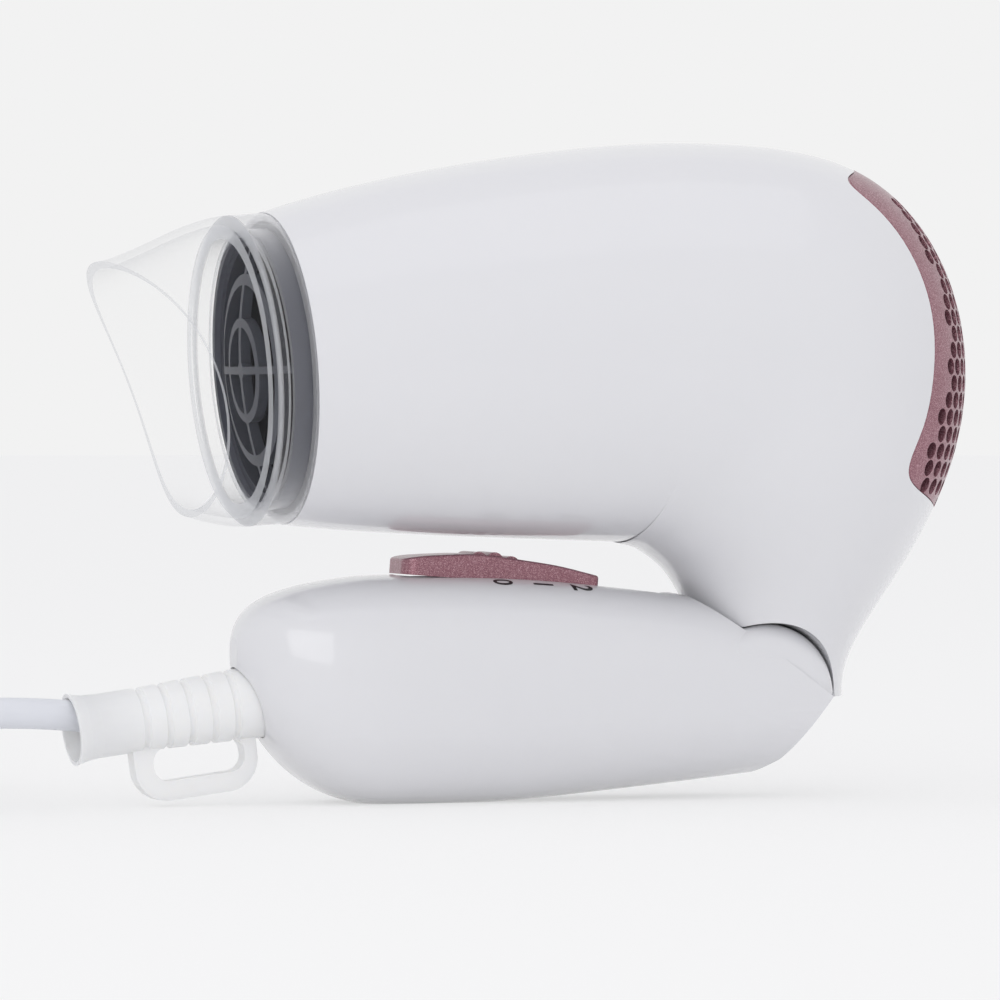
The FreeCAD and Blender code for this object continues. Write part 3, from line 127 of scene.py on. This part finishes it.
def make_cord():
    """The cord as a smooth tube, and the points that it follows."""
    route = [BELL_BOTTOM] + CORD_ROUTE + coil_points() + TAIL_ROUTE
    curve = bpy.data.curves.new("mains_cord", "CURVE")
    curve.dimensions = "3D"
    curve.resolution_u = 6
    curve.bevel_resolution = 5
    curve.use_fill_caps = True
    spline = curve.splines.new("NURBS")
    spline.points.add(len(route) - 1)
    for point, place in zip(spline.points, route):
        point.co = (place[0] * MM, place[1] * MM, place[2] * MM, 1.0)
    spline.order_u = 3
    spline.use_endpoint_u = True
    line = bpy.data.objects.new("mains_cord_line", curve)
    bpy.context.collection.objects.link(line)
    bare = bpy.data.meshes.new_from_object(
        line.evaluated_get(bpy.context.evaluated_depsgraph_get()))
    path = [tuple(vertex.co) for vertex in bare.vertices]
    curve.bevel_depth = CORD_DIAMETER / 2
    mesh = bpy.data.meshes.new_from_object(
        line.evaluated_get(bpy.context.evaluated_depsgraph_get()))
    bpy.data.objects.remove(line)
    for face in mesh.polygons:
        face.use_smooth = True
    cord = bpy.data.objects.new("mains_cord", mesh)
    bpy.context.collection.objects.link(cord)
    return cord, path


mains_cord, cord_path = make_cord()
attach(mains_cord, "handle")
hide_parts("cord_tube", "cord_coil", "cord_tail")


# ---------------------------------------------------------------- shared effects
def effect(name, inputs, outputs):
    """An empty shader node group with named inputs and outputs."""
    group = bpy.data.node_groups.new(name, "ShaderNodeTree")
    for socket, kind, value in inputs:
        made = group.interface.new_socket(name=socket, in_out="INPUT", socket_type=kind)
        if value is not None:
            made.default_value = value
    for socket, kind in outputs:
        group.interface.new_socket(name=socket, in_out="OUTPUT", socket_type=kind)
    return group, group.nodes.new("NodeGroupInput"), group.nodes.new("NodeGroupOutput")


def add_node(tree, kind, wires=None, **values):
    """Adds a node; `values` sets its attributes and sockets, `wires` joins its inputs."""
    node = tree.nodes.new(kind)
    for key, value in values.items():
        if hasattr(node, key):
            setattr(node, key, value)
        else:
            node.inputs[key.replace("_", " ")].default_value = value
    for socket, source in (wires or {}).items():
        tree.links.new(source, node.inputs[socket])
    return node


NUMBER, TINT, ARROW = "NodeSocketFloat", "NodeSocketColor", "NodeSocketVector"
MIX_FIRST, MIX_SECOND, MIX_RESULT = 6, 7, 2     # the colour sockets of a Mix node


def build_mottle():
    """Slow change between two colours, as resin and paint have."""
    group, given, result = effect("resin_mottle", [
        ("Light", TINT, (0.8, 0.8, 0.8, 1)), ("Dark", TINT, (0.7, 0.7, 0.7, 1)),
        ("Scale", NUMBER, 30.0)], [("Colour", TINT)])
    place = add_node(group, "ShaderNodeTexCoord")
    noise = add_node(group, "ShaderNodeTexNoise", {
        "Vector": place.outputs["Object"], "Scale": given.outputs["Scale"]}, Detail=3.0)
    mix = add_node(group, "ShaderNodeMix", {0: noise.outputs["Fac"]}, data_type="RGBA")
    group.links.new(given.outputs["Light"], mix.inputs[MIX_FIRST])
    group.links.new(given.outputs["Dark"], mix.inputs[MIX_SECOND])
    group.links.new(mix.outputs[MIX_RESULT], result.inputs["Colour"])
    return group


def build_skin():
    """Fine unevenness of a moulded or painted face, with faint handling marks in its gloss."""
    group, given, result = effect("moulded_skin", [
        ("Grain", NUMBER, 900.0), ("Depth", NUMBER, 0.00002), ("Gloss", NUMBER, 0.25),
        ("Marks", NUMBER, 0.06)], [("Normal", ARROW), ("Roughness", NUMBER)])
    place = add_node(group, "ShaderNodeTexCoord")
    grain = add_node(group, "ShaderNodeTexNoise", {
        "Vector": place.outputs["Object"], "Scale": given.outputs["Grain"]}, Detail=4.0)
    bump = add_node(group, "ShaderNodeBump", {
        "Height": grain.outputs["Fac"], "Distance": given.outputs["Depth"]}, Strength=1.0)
    marks = add_node(group, "ShaderNodeTexNoise", {"Vector": place.outputs["Object"]},
                     Scale=55.0, Detail=6.0, Distortion=0.6)
    centred = add_node(group, "ShaderNodeMath", {0: marks.outputs["Fac"]}, operation="SUBTRACT")
    centred.inputs[1].default_value = 0.5
    spread = add_node(group, "ShaderNodeMath", {
        0: centred.outputs[0], 1: given.outputs["Marks"], 2: given.outputs["Gloss"]},
        operation="MULTIPLY_ADD")
    group.links.new(bump.outputs["Normal"], result.inputs["Normal"])
    group.links.new(spread.outputs[0], result.inputs["Roughness"])
    return group


def build_flakes():
    """Metal flakes in lacquer: each cell has its own tilt, and a few cells take a brighter colour,
    which is a painted glint.
    """
    group, given, result = effect("lacquer_flakes", [
        ("Base", TINT, (0.3, 0.15, 0.17, 1)), ("Painted Glint", TINT, (0.6, 0.4, 0.42, 1)),
        ("Scale", NUMBER, 3000.0), ("Tilt", NUMBER, 0.25)],
        [("Colour", TINT), ("Normal", ARROW)])
    place = add_node(group, "ShaderNodeTexCoord")
    cells = add_node(group, "ShaderNodeTexVoronoi", {
        "Vector": place.outputs["Object"], "Scale": given.outputs["Scale"]})
    value = add_node(group, "ShaderNodeSeparateColor", {"Color": cells.outputs["Color"]})
    # A few random cells take the brighter colour: a painted glint.
    painted_glint_mask = add_node(group, "ShaderNodeMath", {0: value.outputs["Red"]}, operation="POWER")
    painted_glint_mask.inputs[1].default_value = 3.0
    mix = add_node(group, "ShaderNodeMix", {0: painted_glint_mask.outputs[0]}, data_type="RGBA")
    group.links.new(given.outputs["Base"], mix.inputs[MIX_FIRST])
    group.links.new(given.outputs["Painted Glint"], mix.inputs[MIX_SECOND])
    tilt = add_node(group, "ShaderNodeVectorMath", {0: cells.outputs["Color"]},
                    operation="SUBTRACT")
    tilt.inputs[1].default_value = (0.5, 0.5, 0.5)
    scaled = add_node(group, "ShaderNodeVectorMath", {0: tilt.outputs[0]}, operation="SCALE")
    group.links.new(given.outputs["Tilt"], scaled.inputs["Scale"])
    surface = add_node(group, "ShaderNodeNewGeometry")
    turned = add_node(group, "ShaderNodeVectorMath", {
        0: surface.outputs["Normal"], 1: scaled.outputs[0]}, operation="ADD")
    normal = add_node(group, "ShaderNodeVectorMath", {0: turned.outputs[0]},
                      operation="NORMALIZE")
    group.links.new(mix.outputs[MIX_RESULT], result.inputs["Colour"])
    group.links.new(normal.outputs[0], result.inputs["Normal"])
    return group


def build_clear_edge():
    """How much of a clear wall shows: next to nothing face on, more at a slant, most on its rims,
    which face along the axis. Turned Away is the material's own Layer Weight."""
    group, given, result = effect("clear_edge", [
        ("Turned Away", NUMBER, 0.0), ("Facing", NUMBER, 0.03), ("Slant", NUMBER, 0.4),
        ("Sharpness", NUMBER, 4.0), ("Rim", NUMBER, 0.5), ("Axis", ARROW, (1.0, 0.0, 0.0))],
        [("Cover", NUMBER)])
    power = add_node(group, "ShaderNodeMath", {
        0: given.outputs["Turned Away"], 1: given.outputs["Sharpness"]}, operation="POWER")
    wall = add_node(group, "ShaderNodeMath", {
        0: power.outputs[0], 1: given.outputs["Slant"], 2: given.outputs["Facing"]},
        operation="MULTIPLY_ADD")
    place = add_node(group, "ShaderNodeTexCoord")
    along = add_node(group, "ShaderNodeVectorMath", {
        0: place.outputs["Normal"], 1: given.outputs["Axis"]}, operation="DOT_PRODUCT")
    size = add_node(group, "ShaderNodeMath", {0: along.outputs["Value"]}, operation="ABSOLUTE")
    on_rim = add_node(group, "ShaderNodeMapRange", {"Value": size.outputs[0]},
                      From_Min=0.62, From_Max=0.74)
    rim = add_node(group, "ShaderNodeMath", {
        0: on_rim.outputs["Result"], 1: given.outputs["Rim"]}, operation="MULTIPLY")
    cover = add_node(group, "ShaderNodeMath", {0: wall.outputs[0], 1: rim.outputs[0]},
                     operation="MAXIMUM", use_clamp=True)
    group.links.new(cover.outputs[0], result.inputs["Cover"])
    return group


MOTTLE, SKIN, FLAKES, CLEAR_EDGE = build_mottle(), build_skin(), build_flakes(), build_clear_edge()


def place_effect(tree, group, values):
    """Places a shared effect in a material, with that material's own values."""
    node = add_node(tree, "ShaderNodeGroup", node_tree=group)
    for socket, value in values.items():
        node.inputs[socket].default_value = value
    return node


def material(name, sockets, mottle=None, skin=None):
    """A Principled material.  `mottle` is its light and dark colour and their scale; `skin` is
    the scale and depth of its grain, its roughness and how much that varies."""
    made = bpy.data.materials.new(name)
    made.use_nodes = True
    tree = made.node_tree
    shader = tree.nodes["Principled BSDF"]
    for socket, value in sockets.items():
        shader.inputs[socket].default_value = value
    if mottle:
        node = place_effect(tree, MOTTLE, dict(zip(("Light", "Dark", "Scale"), mottle)))
        tree.links.new(node.outputs["Colour"], shader.inputs["Base Color"])
    if skin:
        node = place_effect(tree, SKIN, dict(zip(("Grain", "Depth", "Gloss", "Marks"), skin)))
        tree.links.new(node.outputs["Normal"], shader.inputs["Normal"])
        tree.links.new(node.outputs["Roughness"], shader.inputs["Roughness"])
    return made


pearl_white = material(
    "pearl_white", {"Coat Weight": 1.0, "Coat Roughness": 0.03, "IOR": 1.48},
    (colour(227, 227, 229), colour(223, 223, 226), 18.0), (500.0, 0.000003, 0.3, 0.06))
rose_lacquer = material(
    "rose_lacquer", {"Metallic": 0.55, "Coat Weight": 0.35, "Coat Roughness": 0.2,
                     "Roughness": 0.32})
# The brighter flake colour is a painted glint.
flakes = place_effect(rose_lacquer.node_tree, FLAKES, {
    "Base": colour(134, 84, 96), "Painted Glint": colour(200, 158, 166), "Scale": 8500.0, "Tilt": 0.14})
shader = rose_lacquer.node_tree.nodes["Principled BSDF"]
rose_lacquer.node_tree.links.new(flakes.outputs["Colour"], shader.inputs["Base Color"])
rose_lacquer.node_tree.links.new(flakes.outputs["Normal"], shader.inputs["Normal"])


def clear_wall(name, base, cover):
    """A clear material whose alpha follows the clear-edge effect, with the values in `cover`."""
    made = material(name, {"Base Color": base, "IOR": 1.49, "Roughness": 0.03},
                    None, (160.0, 0.000003, 0.03, 0.02))
    edge = place_effect(made.node_tree, CLEAR_EDGE, cover)
    layer = add_node(made.node_tree, "ShaderNodeLayerWeight", Blend=0.5)
    made.node_tree.links.new(layer.outputs["Facing"], edge.inputs["Turned Away"])
    made.node_tree.links.new(edge.outputs["Cover"],
                             made.node_tree.nodes["Principled BSDF"].inputs["Alpha"])
    return made


NOZZLE_AXIS = (0.9976, 0.0, 0.0698)
clear_resin = clear_wall("clear_resin", colour(205, 207, 211), {
    "Facing": 0.015, "Slant": 0.4, "Sharpness": 5.0, "Rim": 0.5, "Axis": NOZZLE_AXIS})
collar_resin = clear_wall("collar_resin", colour(244, 244, 245), {
    "Facing": 0.02, "Slant": 0.9, "Sharpness": 2.6, "Rim": 0.4, "Axis": NOZZLE_AXIS})
dark_resin = material(
    "dark_resin", {}, (colour(92, 94, 103), colour(82, 84, 93), 90.0),
    (2600.0, 0.00002, 0.42, 0.1))
grille_resin = material(
    "grille_resin", {"Specular IOR Level": 0.3}, (colour(68, 70, 78), colour(60, 62, 70), 90.0),
    (2600.0, 0.00002, 0.5, 0.1))
black_resin = material(
    "black_resin", {}, (colour(46, 46, 54), colour(38, 38, 46), 90.0),
    (2600.0, 0.00002, 0.5, 0.1))
soft_vinyl = material(
    "soft_vinyl", {"Subsurface Weight": 0.35, "Subsurface Scale": 0.004,
                   "Subsurface Radius": (1.0, 0.95, 0.85), "IOR": 1.45},
    (colour(247, 247, 246), colour(243, 243, 242), 40.0), (700.0, 0.00001, 0.42, 0.08))
cord_vinyl = material(
    "cord_vinyl", {"IOR": 1.5}, (colour(230, 232, 237), colour(225, 227, 233), 60.0),
    (1200.0, 0.00001, 0.38, 0.08))
lead_vinyl = material("lead_vinyl", {}, (colour(124, 86, 60), colour(60, 96, 150), 12.0),
                      (1500.0, 0.00001, 0.4, 0.08))
natural_nylon = material("natural_nylon", {}, (colour(232, 229, 219), colour(224, 221, 210), 80.0),
                         (1500.0, 0.00001, 0.45, 0.1))
laminate = material("laminate", {}, (colour(40, 92, 60), colour(28, 74, 46), 260.0),
                    (1500.0, 0.00001, 0.35, 0.1))
film_case = material("film_case", {}, (colour(214, 178, 52), colour(202, 164, 40), 120.0),
                     (1500.0, 0.00001, 0.3, 0.08))
plated_steel = material("plated_steel", {"Metallic": 1.0},
                        (colour(196, 197, 202), colour(176, 178, 186), 300.0),
                        (3000.0, 0.000006, 0.3, 0.12))
nickel = material("nickel", {"Metallic": 1.0},
                  (colour(214, 211, 204), colour(204, 200, 192), 80.0),
                  (2500.0, 0.000003, 0.16, 0.1))
copper = material("copper", {"Metallic": 1.0}, (colour(208, 140, 98), colour(188, 116, 78), 200.0),
                  (2500.0, 0.000004, 0.3, 0.1))
screen_wire = material("screen_wire", {"Metallic": 1.0},
                       (colour(96, 92, 96), colour(70, 66, 72), 900.0),
                       (2200.0, 0.00006, 0.45, 0.1))
mica = material("mica", {"Specular IOR Level": 0.15},
                (colour(36, 33, 38), colour(26, 24, 30), 120.0), (500.0, 0.00002, 0.5, 0.12))
nichrome = material("nichrome", {"Metallic": 1.0},
                    (colour(92, 86, 86), colour(66, 60, 62), 400.0),
                    (2500.0, 0.00001, 0.35, 0.1))
printing_ink = material("printing_ink", {}, (colour(30, 30, 33), colour(22, 22, 25), 300.0),
                        (2500.0, 0.000004, 0.4, 0.1))

FINISHES = {
    "white_shell": pearl_white, "rose_metallic": rose_lacquer, "clear_plastic": clear_resin,
    "grey_plastic": dark_resin, "black_plastic": black_resin, "soft_vinyl": soft_vinyl,
    "cord_vinyl": cord_vinyl, "lead_vinyl": lead_vinyl, "nylon": natural_nylon,
    "tie_plastic": natural_nylon, "circuit_board": laminate, "yellow_film": film_case,
    "screw_steel": plated_steel, "pin_steel": plated_steel, "motor_steel": plated_steel,
    "nickel": nickel, "copper": copper, "thermal_brass": copper, "mesh_steel": screen_wire,
    "mica": mica, "heater_wire": nichrome}

slot_of = {part["node"]: part["material_slot"] for part in frame["record"]["subparts"]}


def dress(thing, finish):
    """Gives a piece one material."""
    thing.data.materials.clear()
    thing.data.materials.append(finish)


for name, node in frame["nodes"].items():
    dress(node, FINISHES[slot_of[name]])
dress(frame["nodes"]["outlet_grille"], grille_resin)
dress(frame["nodes"]["nozzle_collar"], collar_resin)


# ---------------------------------------------------------------- digits
# Each digit, its place along and across the handle, and its size, in millimetres.
DIGITS = (("0", 7.9, -9.0, 5.5), ("1", 16.3, -9.2, 5.7), ("2", 24.4, -9.4, 6.0))
DIGIT_SWELL = 0.00012
DIGIT_LIFT = 0.00005
OVERHEAD = 0.2


def skin_of(*names):
    """Search tree over the faces of some nodes."""
    build = bmesh.new()
    for name in names:
        build.from_mesh(frame["nodes"][name].data)
    tree = BVHTree.FromBMesh(build)
    build.free()
    return tree


def make_digits():
    """Switch positions printed beside the slider, laid onto the handle from above."""
    shell = skin_of("handle_front_shell", "handle_back_shell")
    build = bmesh.new()
    for character, along, across, size in DIGITS:
        text = bpy.data.curves.new("digit", "FONT")
        text.body = character
        text.size = size * MM
        text.align_x = text.align_y = "CENTER"
        text.offset = DIGIT_SWELL
        text.resolution_u = 4
        letter = bpy.data.objects.new("digit", text)
        bpy.context.collection.objects.link(letter)
        flat = bpy.data.meshes.new_from_object(
            letter.evaluated_get(bpy.context.evaluated_depsgraph_get()))
        part = bmesh.new()
        part.from_mesh(flat)
        bmesh.ops.triangulate(part, faces=part.faces)
        for _ in range(2):
            bmesh.ops.subdivide_edges(part, edges=part.edges, cuts=1, use_grid_fill=True)
        for vertex in part.verts:
            above = Vector((along * MM + vertex.co.y, across * MM - vertex.co.x, OVERHEAD))
            place, normal, _, _ = shell.ray_cast(above, Vector((0, 0, -1)))
            vertex.co = place + normal * DIGIT_LIFT
        part.to_mesh(flat)
        part.free()
        build.from_mesh(flat)
        bpy.data.objects.remove(letter)
        bpy.data.curves.remove(text)
        bpy.data.meshes.remove(flat)
    mesh = bpy.data.meshes.new("switch_digits")
    build.to_mesh(mesh)
    build.free()
    digits = bpy.data.objects.new("switch_digits", mesh)
    bpy.context.collection.objects.link(digits)
    mesh.materials.append(printing_ink)
    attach(digits, "handle")


make_digits()


# ---------------------------------------------------------------- heating coil
AIR_TILT = math.radians(4.0)
COIL_SPAN = 0.0312


def join(tree, start, output, end, socket):
    """Joins an output of one node to a socket of another, both by name."""
    tree.links.new(start.outputs[output], end.inputs[socket])


def coil_nodes():
    """Rings of coiled wire: small loops along a circle, and that circle along the air path."""
    group = bpy.data.node_groups.new("coiled_wire", "GeometryNodeTree")
    for name, kind, value in (("Ring Radius", NUMBER, 0.0224), ("Coil Radius", NUMBER, 0.0007),
                              ("Wire Radius", NUMBER, 0.00016), ("Length", NUMBER, 0.0312),
                              ("Loops", "NodeSocketInt", 104), ("Rings", "NodeSocketInt", 7),
                              ("Finish", "NodeSocketMaterial", None)):
        socket = group.interface.new_socket(name=name, in_out="INPUT", socket_type=kind)
        if value is not None:
            socket.default_value = value
    group.interface.new_socket(name="Geometry", in_out="OUTPUT", socket_type="NodeSocketGeometry")
    given, result = group.nodes.new("NodeGroupInput"), group.nodes.new("NodeGroupOutput")
    circle = add_node(group, "GeometryNodeCurvePrimitiveCircle")
    loops = add_node(group, "GeometryNodeResampleCurve")
    join(group, given, "Ring Radius", circle, "Radius")
    join(group, given, "Loops", loops, "Count")
    join(group, circle, "Curve", loops, "Curve")
    tangent = add_node(group, "GeometryNodeInputTangent")
    turn = add_node(group, "FunctionNodeAlignRotationToVector", axis="Z")
    join(group, tangent, "Tangent", turn, "Vector")
    loop = add_node(group, "GeometryNodeCurvePrimitiveCircle", Resolution=9)
    join(group, given, "Coil Radius", loop, "Radius")
    wire = add_node(group, "GeometryNodeCurvePrimitiveCircle", Resolution=4)
    join(group, given, "Wire Radius", wire, "Radius")
    solid = add_node(group, "GeometryNodeCurveToMesh")
    join(group, loop, "Curve", solid, "Curve")
    join(group, wire, "Curve", solid, "Profile Curve")
    ring = add_node(group, "GeometryNodeInstanceOnPoints")
    join(group, loops, "Curve", ring, "Points")
    join(group, solid, "Mesh", ring, "Instance")
    join(group, turn, "Rotation", ring, "Rotation")
    line = add_node(group, "GeometryNodeMeshLine", mode="END_POINTS")
    join(group, given, "Rings", line, "Count")
    end = add_node(group, "ShaderNodeCombineXYZ")
    join(group, given, "Length", end, "Z")
    join(group, end, "Vector", line, "Offset")
    rings = add_node(group, "GeometryNodeInstanceOnPoints")
    join(group, line, "Mesh", rings, "Points")
    join(group, ring, "Instances", rings, "Instance")
    real = add_node(group, "GeometryNodeRealizeInstances")
    join(group, rings, "Instances", real, "Geometry")
    coated = add_node(group, "GeometryNodeSetMaterial")
    join(group, real, "Geometry", coated, "Geometry")
    join(group, given, "Finish", coated, "Material")
    join(group, coated, "Geometry", result, "Geometry")
    return group


def make_coil():
    """The heating coil in the place of the plain rings of the solid model."""
    low, high = (Vector(corner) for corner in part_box("heater_windings"))
    tilt = Vector((math.cos(AIR_TILT), 0.0, math.sin(AIR_TILT)))
    middle = (low + high) / 2
    maker = bpy.data.objects.new("heater_coil_maker", bpy.data.meshes.new("heater_coil_maker"))
    bpy.context.collection.objects.link(maker)
    modifier = maker.modifiers.new("coil", "NODES")
    modifier.node_group = coil_nodes()
    for socket in modifier.node_group.interface.items_tree:
        if socket.in_out == "INPUT" and socket.name == "Finish":
            modifier[socket.identifier] = nichrome
        if socket.in_out == "INPUT" and socket.name == "Length":
            modifier[socket.identifier] = COIL_SPAN
    mesh = bpy.data.meshes.new_from_object(
        maker.evaluated_get(bpy.context.evaluated_depsgraph_get()))
    maker.modifiers.clear()
    bpy.data.objects.remove(maker)
    turn = tilt.to_track_quat("Z", "Y")
    for vertex in mesh.vertices:
        vertex.co = middle + turn @ (vertex.co - Vector((0, 0, COIL_SPAN / 2)))
    mesh.name = "heater_coil"
    coil = bpy.data.objects.new("heater_coil", mesh)
    bpy.context.collection.objects.link(coil)
    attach(coil, "barrel")
    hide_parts("heater_windings")


make_coil()
dress(mains_cord, cord_vinyl)


# ---------------------------------------------------------------- stage and light
# STAGE_CURVE is the radius at which the floor turns up into the wall.
STAGE_RADIUS, STAGE_CURVE, STAGE_HEIGHT, STAGE_SIDES = 6.0, 1.2, 7.0, 64
STAGE_CURVE_STEPS = 8
FLOOR_LIT_SHARE = 0.4
PAPER_SEEN, PAPER_LIT = colour(242, 242, 242), colour(250, 250, 250)


def paper_material(name, lit_share):
    """Plain paper colour to the camera and in mirrors, mixed with the lit surface by `lit_share`.
    To other rays it is the lit surface, or nothing at all when `lit_share` is zero."""
    made = bpy.data.materials.new(name)
    made.use_nodes = True
    tree = made.node_tree
    shader = tree.nodes["Principled BSDF"]
    shader.inputs["Base Color"].default_value = PAPER_LIT
    shader.inputs["Roughness"].default_value = 0.9
    shader.inputs["Specular IOR Level"].default_value = 0.1
    seen = add_node(tree, "ShaderNodeEmission", Color=PAPER_SEEN,
                    Strength=1.0 + 0.08 * lit_share)
    path = add_node(tree, "ShaderNodeLightPath")
    either = add_node(tree, "ShaderNodeMath", {
        0: path.outputs["Is Camera Ray"], 1: path.outputs["Is Glossy Ray"]}, operation="MAXIMUM")
    any_of = add_node(tree, "ShaderNodeMath", {
        0: either.outputs[0], 1: path.outputs["Is Transmission Ray"]}, operation="MAXIMUM")
    share = add_node(tree, "ShaderNodeMath", {0: any_of.outputs[0]}, operation="MULTIPLY")
    share.inputs[1].default_value = 1.0 - lit_share
    mix = add_node(tree, "ShaderNodeMixShader", {0: share.outputs[0]})
    other = shader if lit_share else add_node(tree, "ShaderNodeBsdfTransparent")
    tree.links.new(other.outputs[0], mix.inputs[1])
    tree.links.new(seen.outputs[0], mix.inputs[2])
    tree.links.new(mix.outputs[0], tree.nodes["Material Output"].inputs["Surface"])
    return made


def make_stage():
    """Round floor that curves up into a wall on all sides, so that it serves every view."""
    profile = [(0.02, 0.0), (1.0, 0.0), (STAGE_RADIUS, 0.0)]
    for step in range(1, STAGE_CURVE_STEPS + 1):
        angle = math.radians(90 * step / STAGE_CURVE_STEPS)
        profile.append((STAGE_RADIUS + STAGE_CURVE * math.sin(angle),
                        STAGE_CURVE * (1 - math.cos(angle))))
    profile.append((STAGE_RADIUS + STAGE_CURVE, STAGE_HEIGHT))
    build = bmesh.new()
    rows = []
    for step in range(STAGE_SIDES):
        angle = 2 * math.pi * step / STAGE_SIDES
        rows.append([build.verts.new((reach * math.cos(angle), reach * math.sin(angle), height))
                     for reach, height in profile])
    build.faces.new([row[0] for row in rows])
    for here, after in zip(rows, rows[1:] + rows[:1]):
        for index in range(len(profile) - 1):
            face = build.faces.new((here[index], here[index + 1], after[index + 1], after[index]))
            face.smooth = True
            face.material_index = int(profile[index + 1][1] > 0)
    mesh = bpy.data.meshes.new("backdrop")
    build.to_mesh(mesh)
    build.free()
    stage = bpy.data.objects.new("backdrop", mesh)
    bpy.context.collection.objects.link(stage)
    mesh.materials.append(paper_material("backdrop_floor", FLOOR_LIT_SHARE))
    mesh.materials.append(paper_material("backdrop_wall", 0.0))


LIGHT_AIM = Vector((0.0, 0.0, 0.06))
WORLD_STRENGTH = 0.87


def area_light(name, place, size, power):
    """A rectangular lamp of `power` watts that faces the middle of the object."""
    data = bpy.data.lights.new(name, "AREA")
    data.shape = "RECTANGLE"
    data.size, data.size_y = size
    data.energy = power
    lamp = bpy.data.objects.new(name, data)
    lamp.location = place
    lamp.rotation_euler = (Vector(place) - LIGHT_AIM).to_track_quat("Z", "Y").to_euler()
    bpy.context.collection.objects.link(lamp)


make_stage()
world = bpy.data.worlds.new("studio")
world.use_nodes = True
world.node_tree.nodes["Background"].inputs["Color"].default_value = colour(252, 252, 255)
world.node_tree.nodes["Background"].inputs["Strength"].default_value = WORLD_STRENGTH
bpy.context.scene.world = world
area_light("top_soft", place=(0.0, -0.3, 1.4), size=(1.6, 1.2), power=1.4)
area_light("front_soft", place=(-0.9, -1.3, 0.6), size=(0.9, 0.9), power=3.2)

bpy.context.scene.view_settings.view_transform = "Standard"
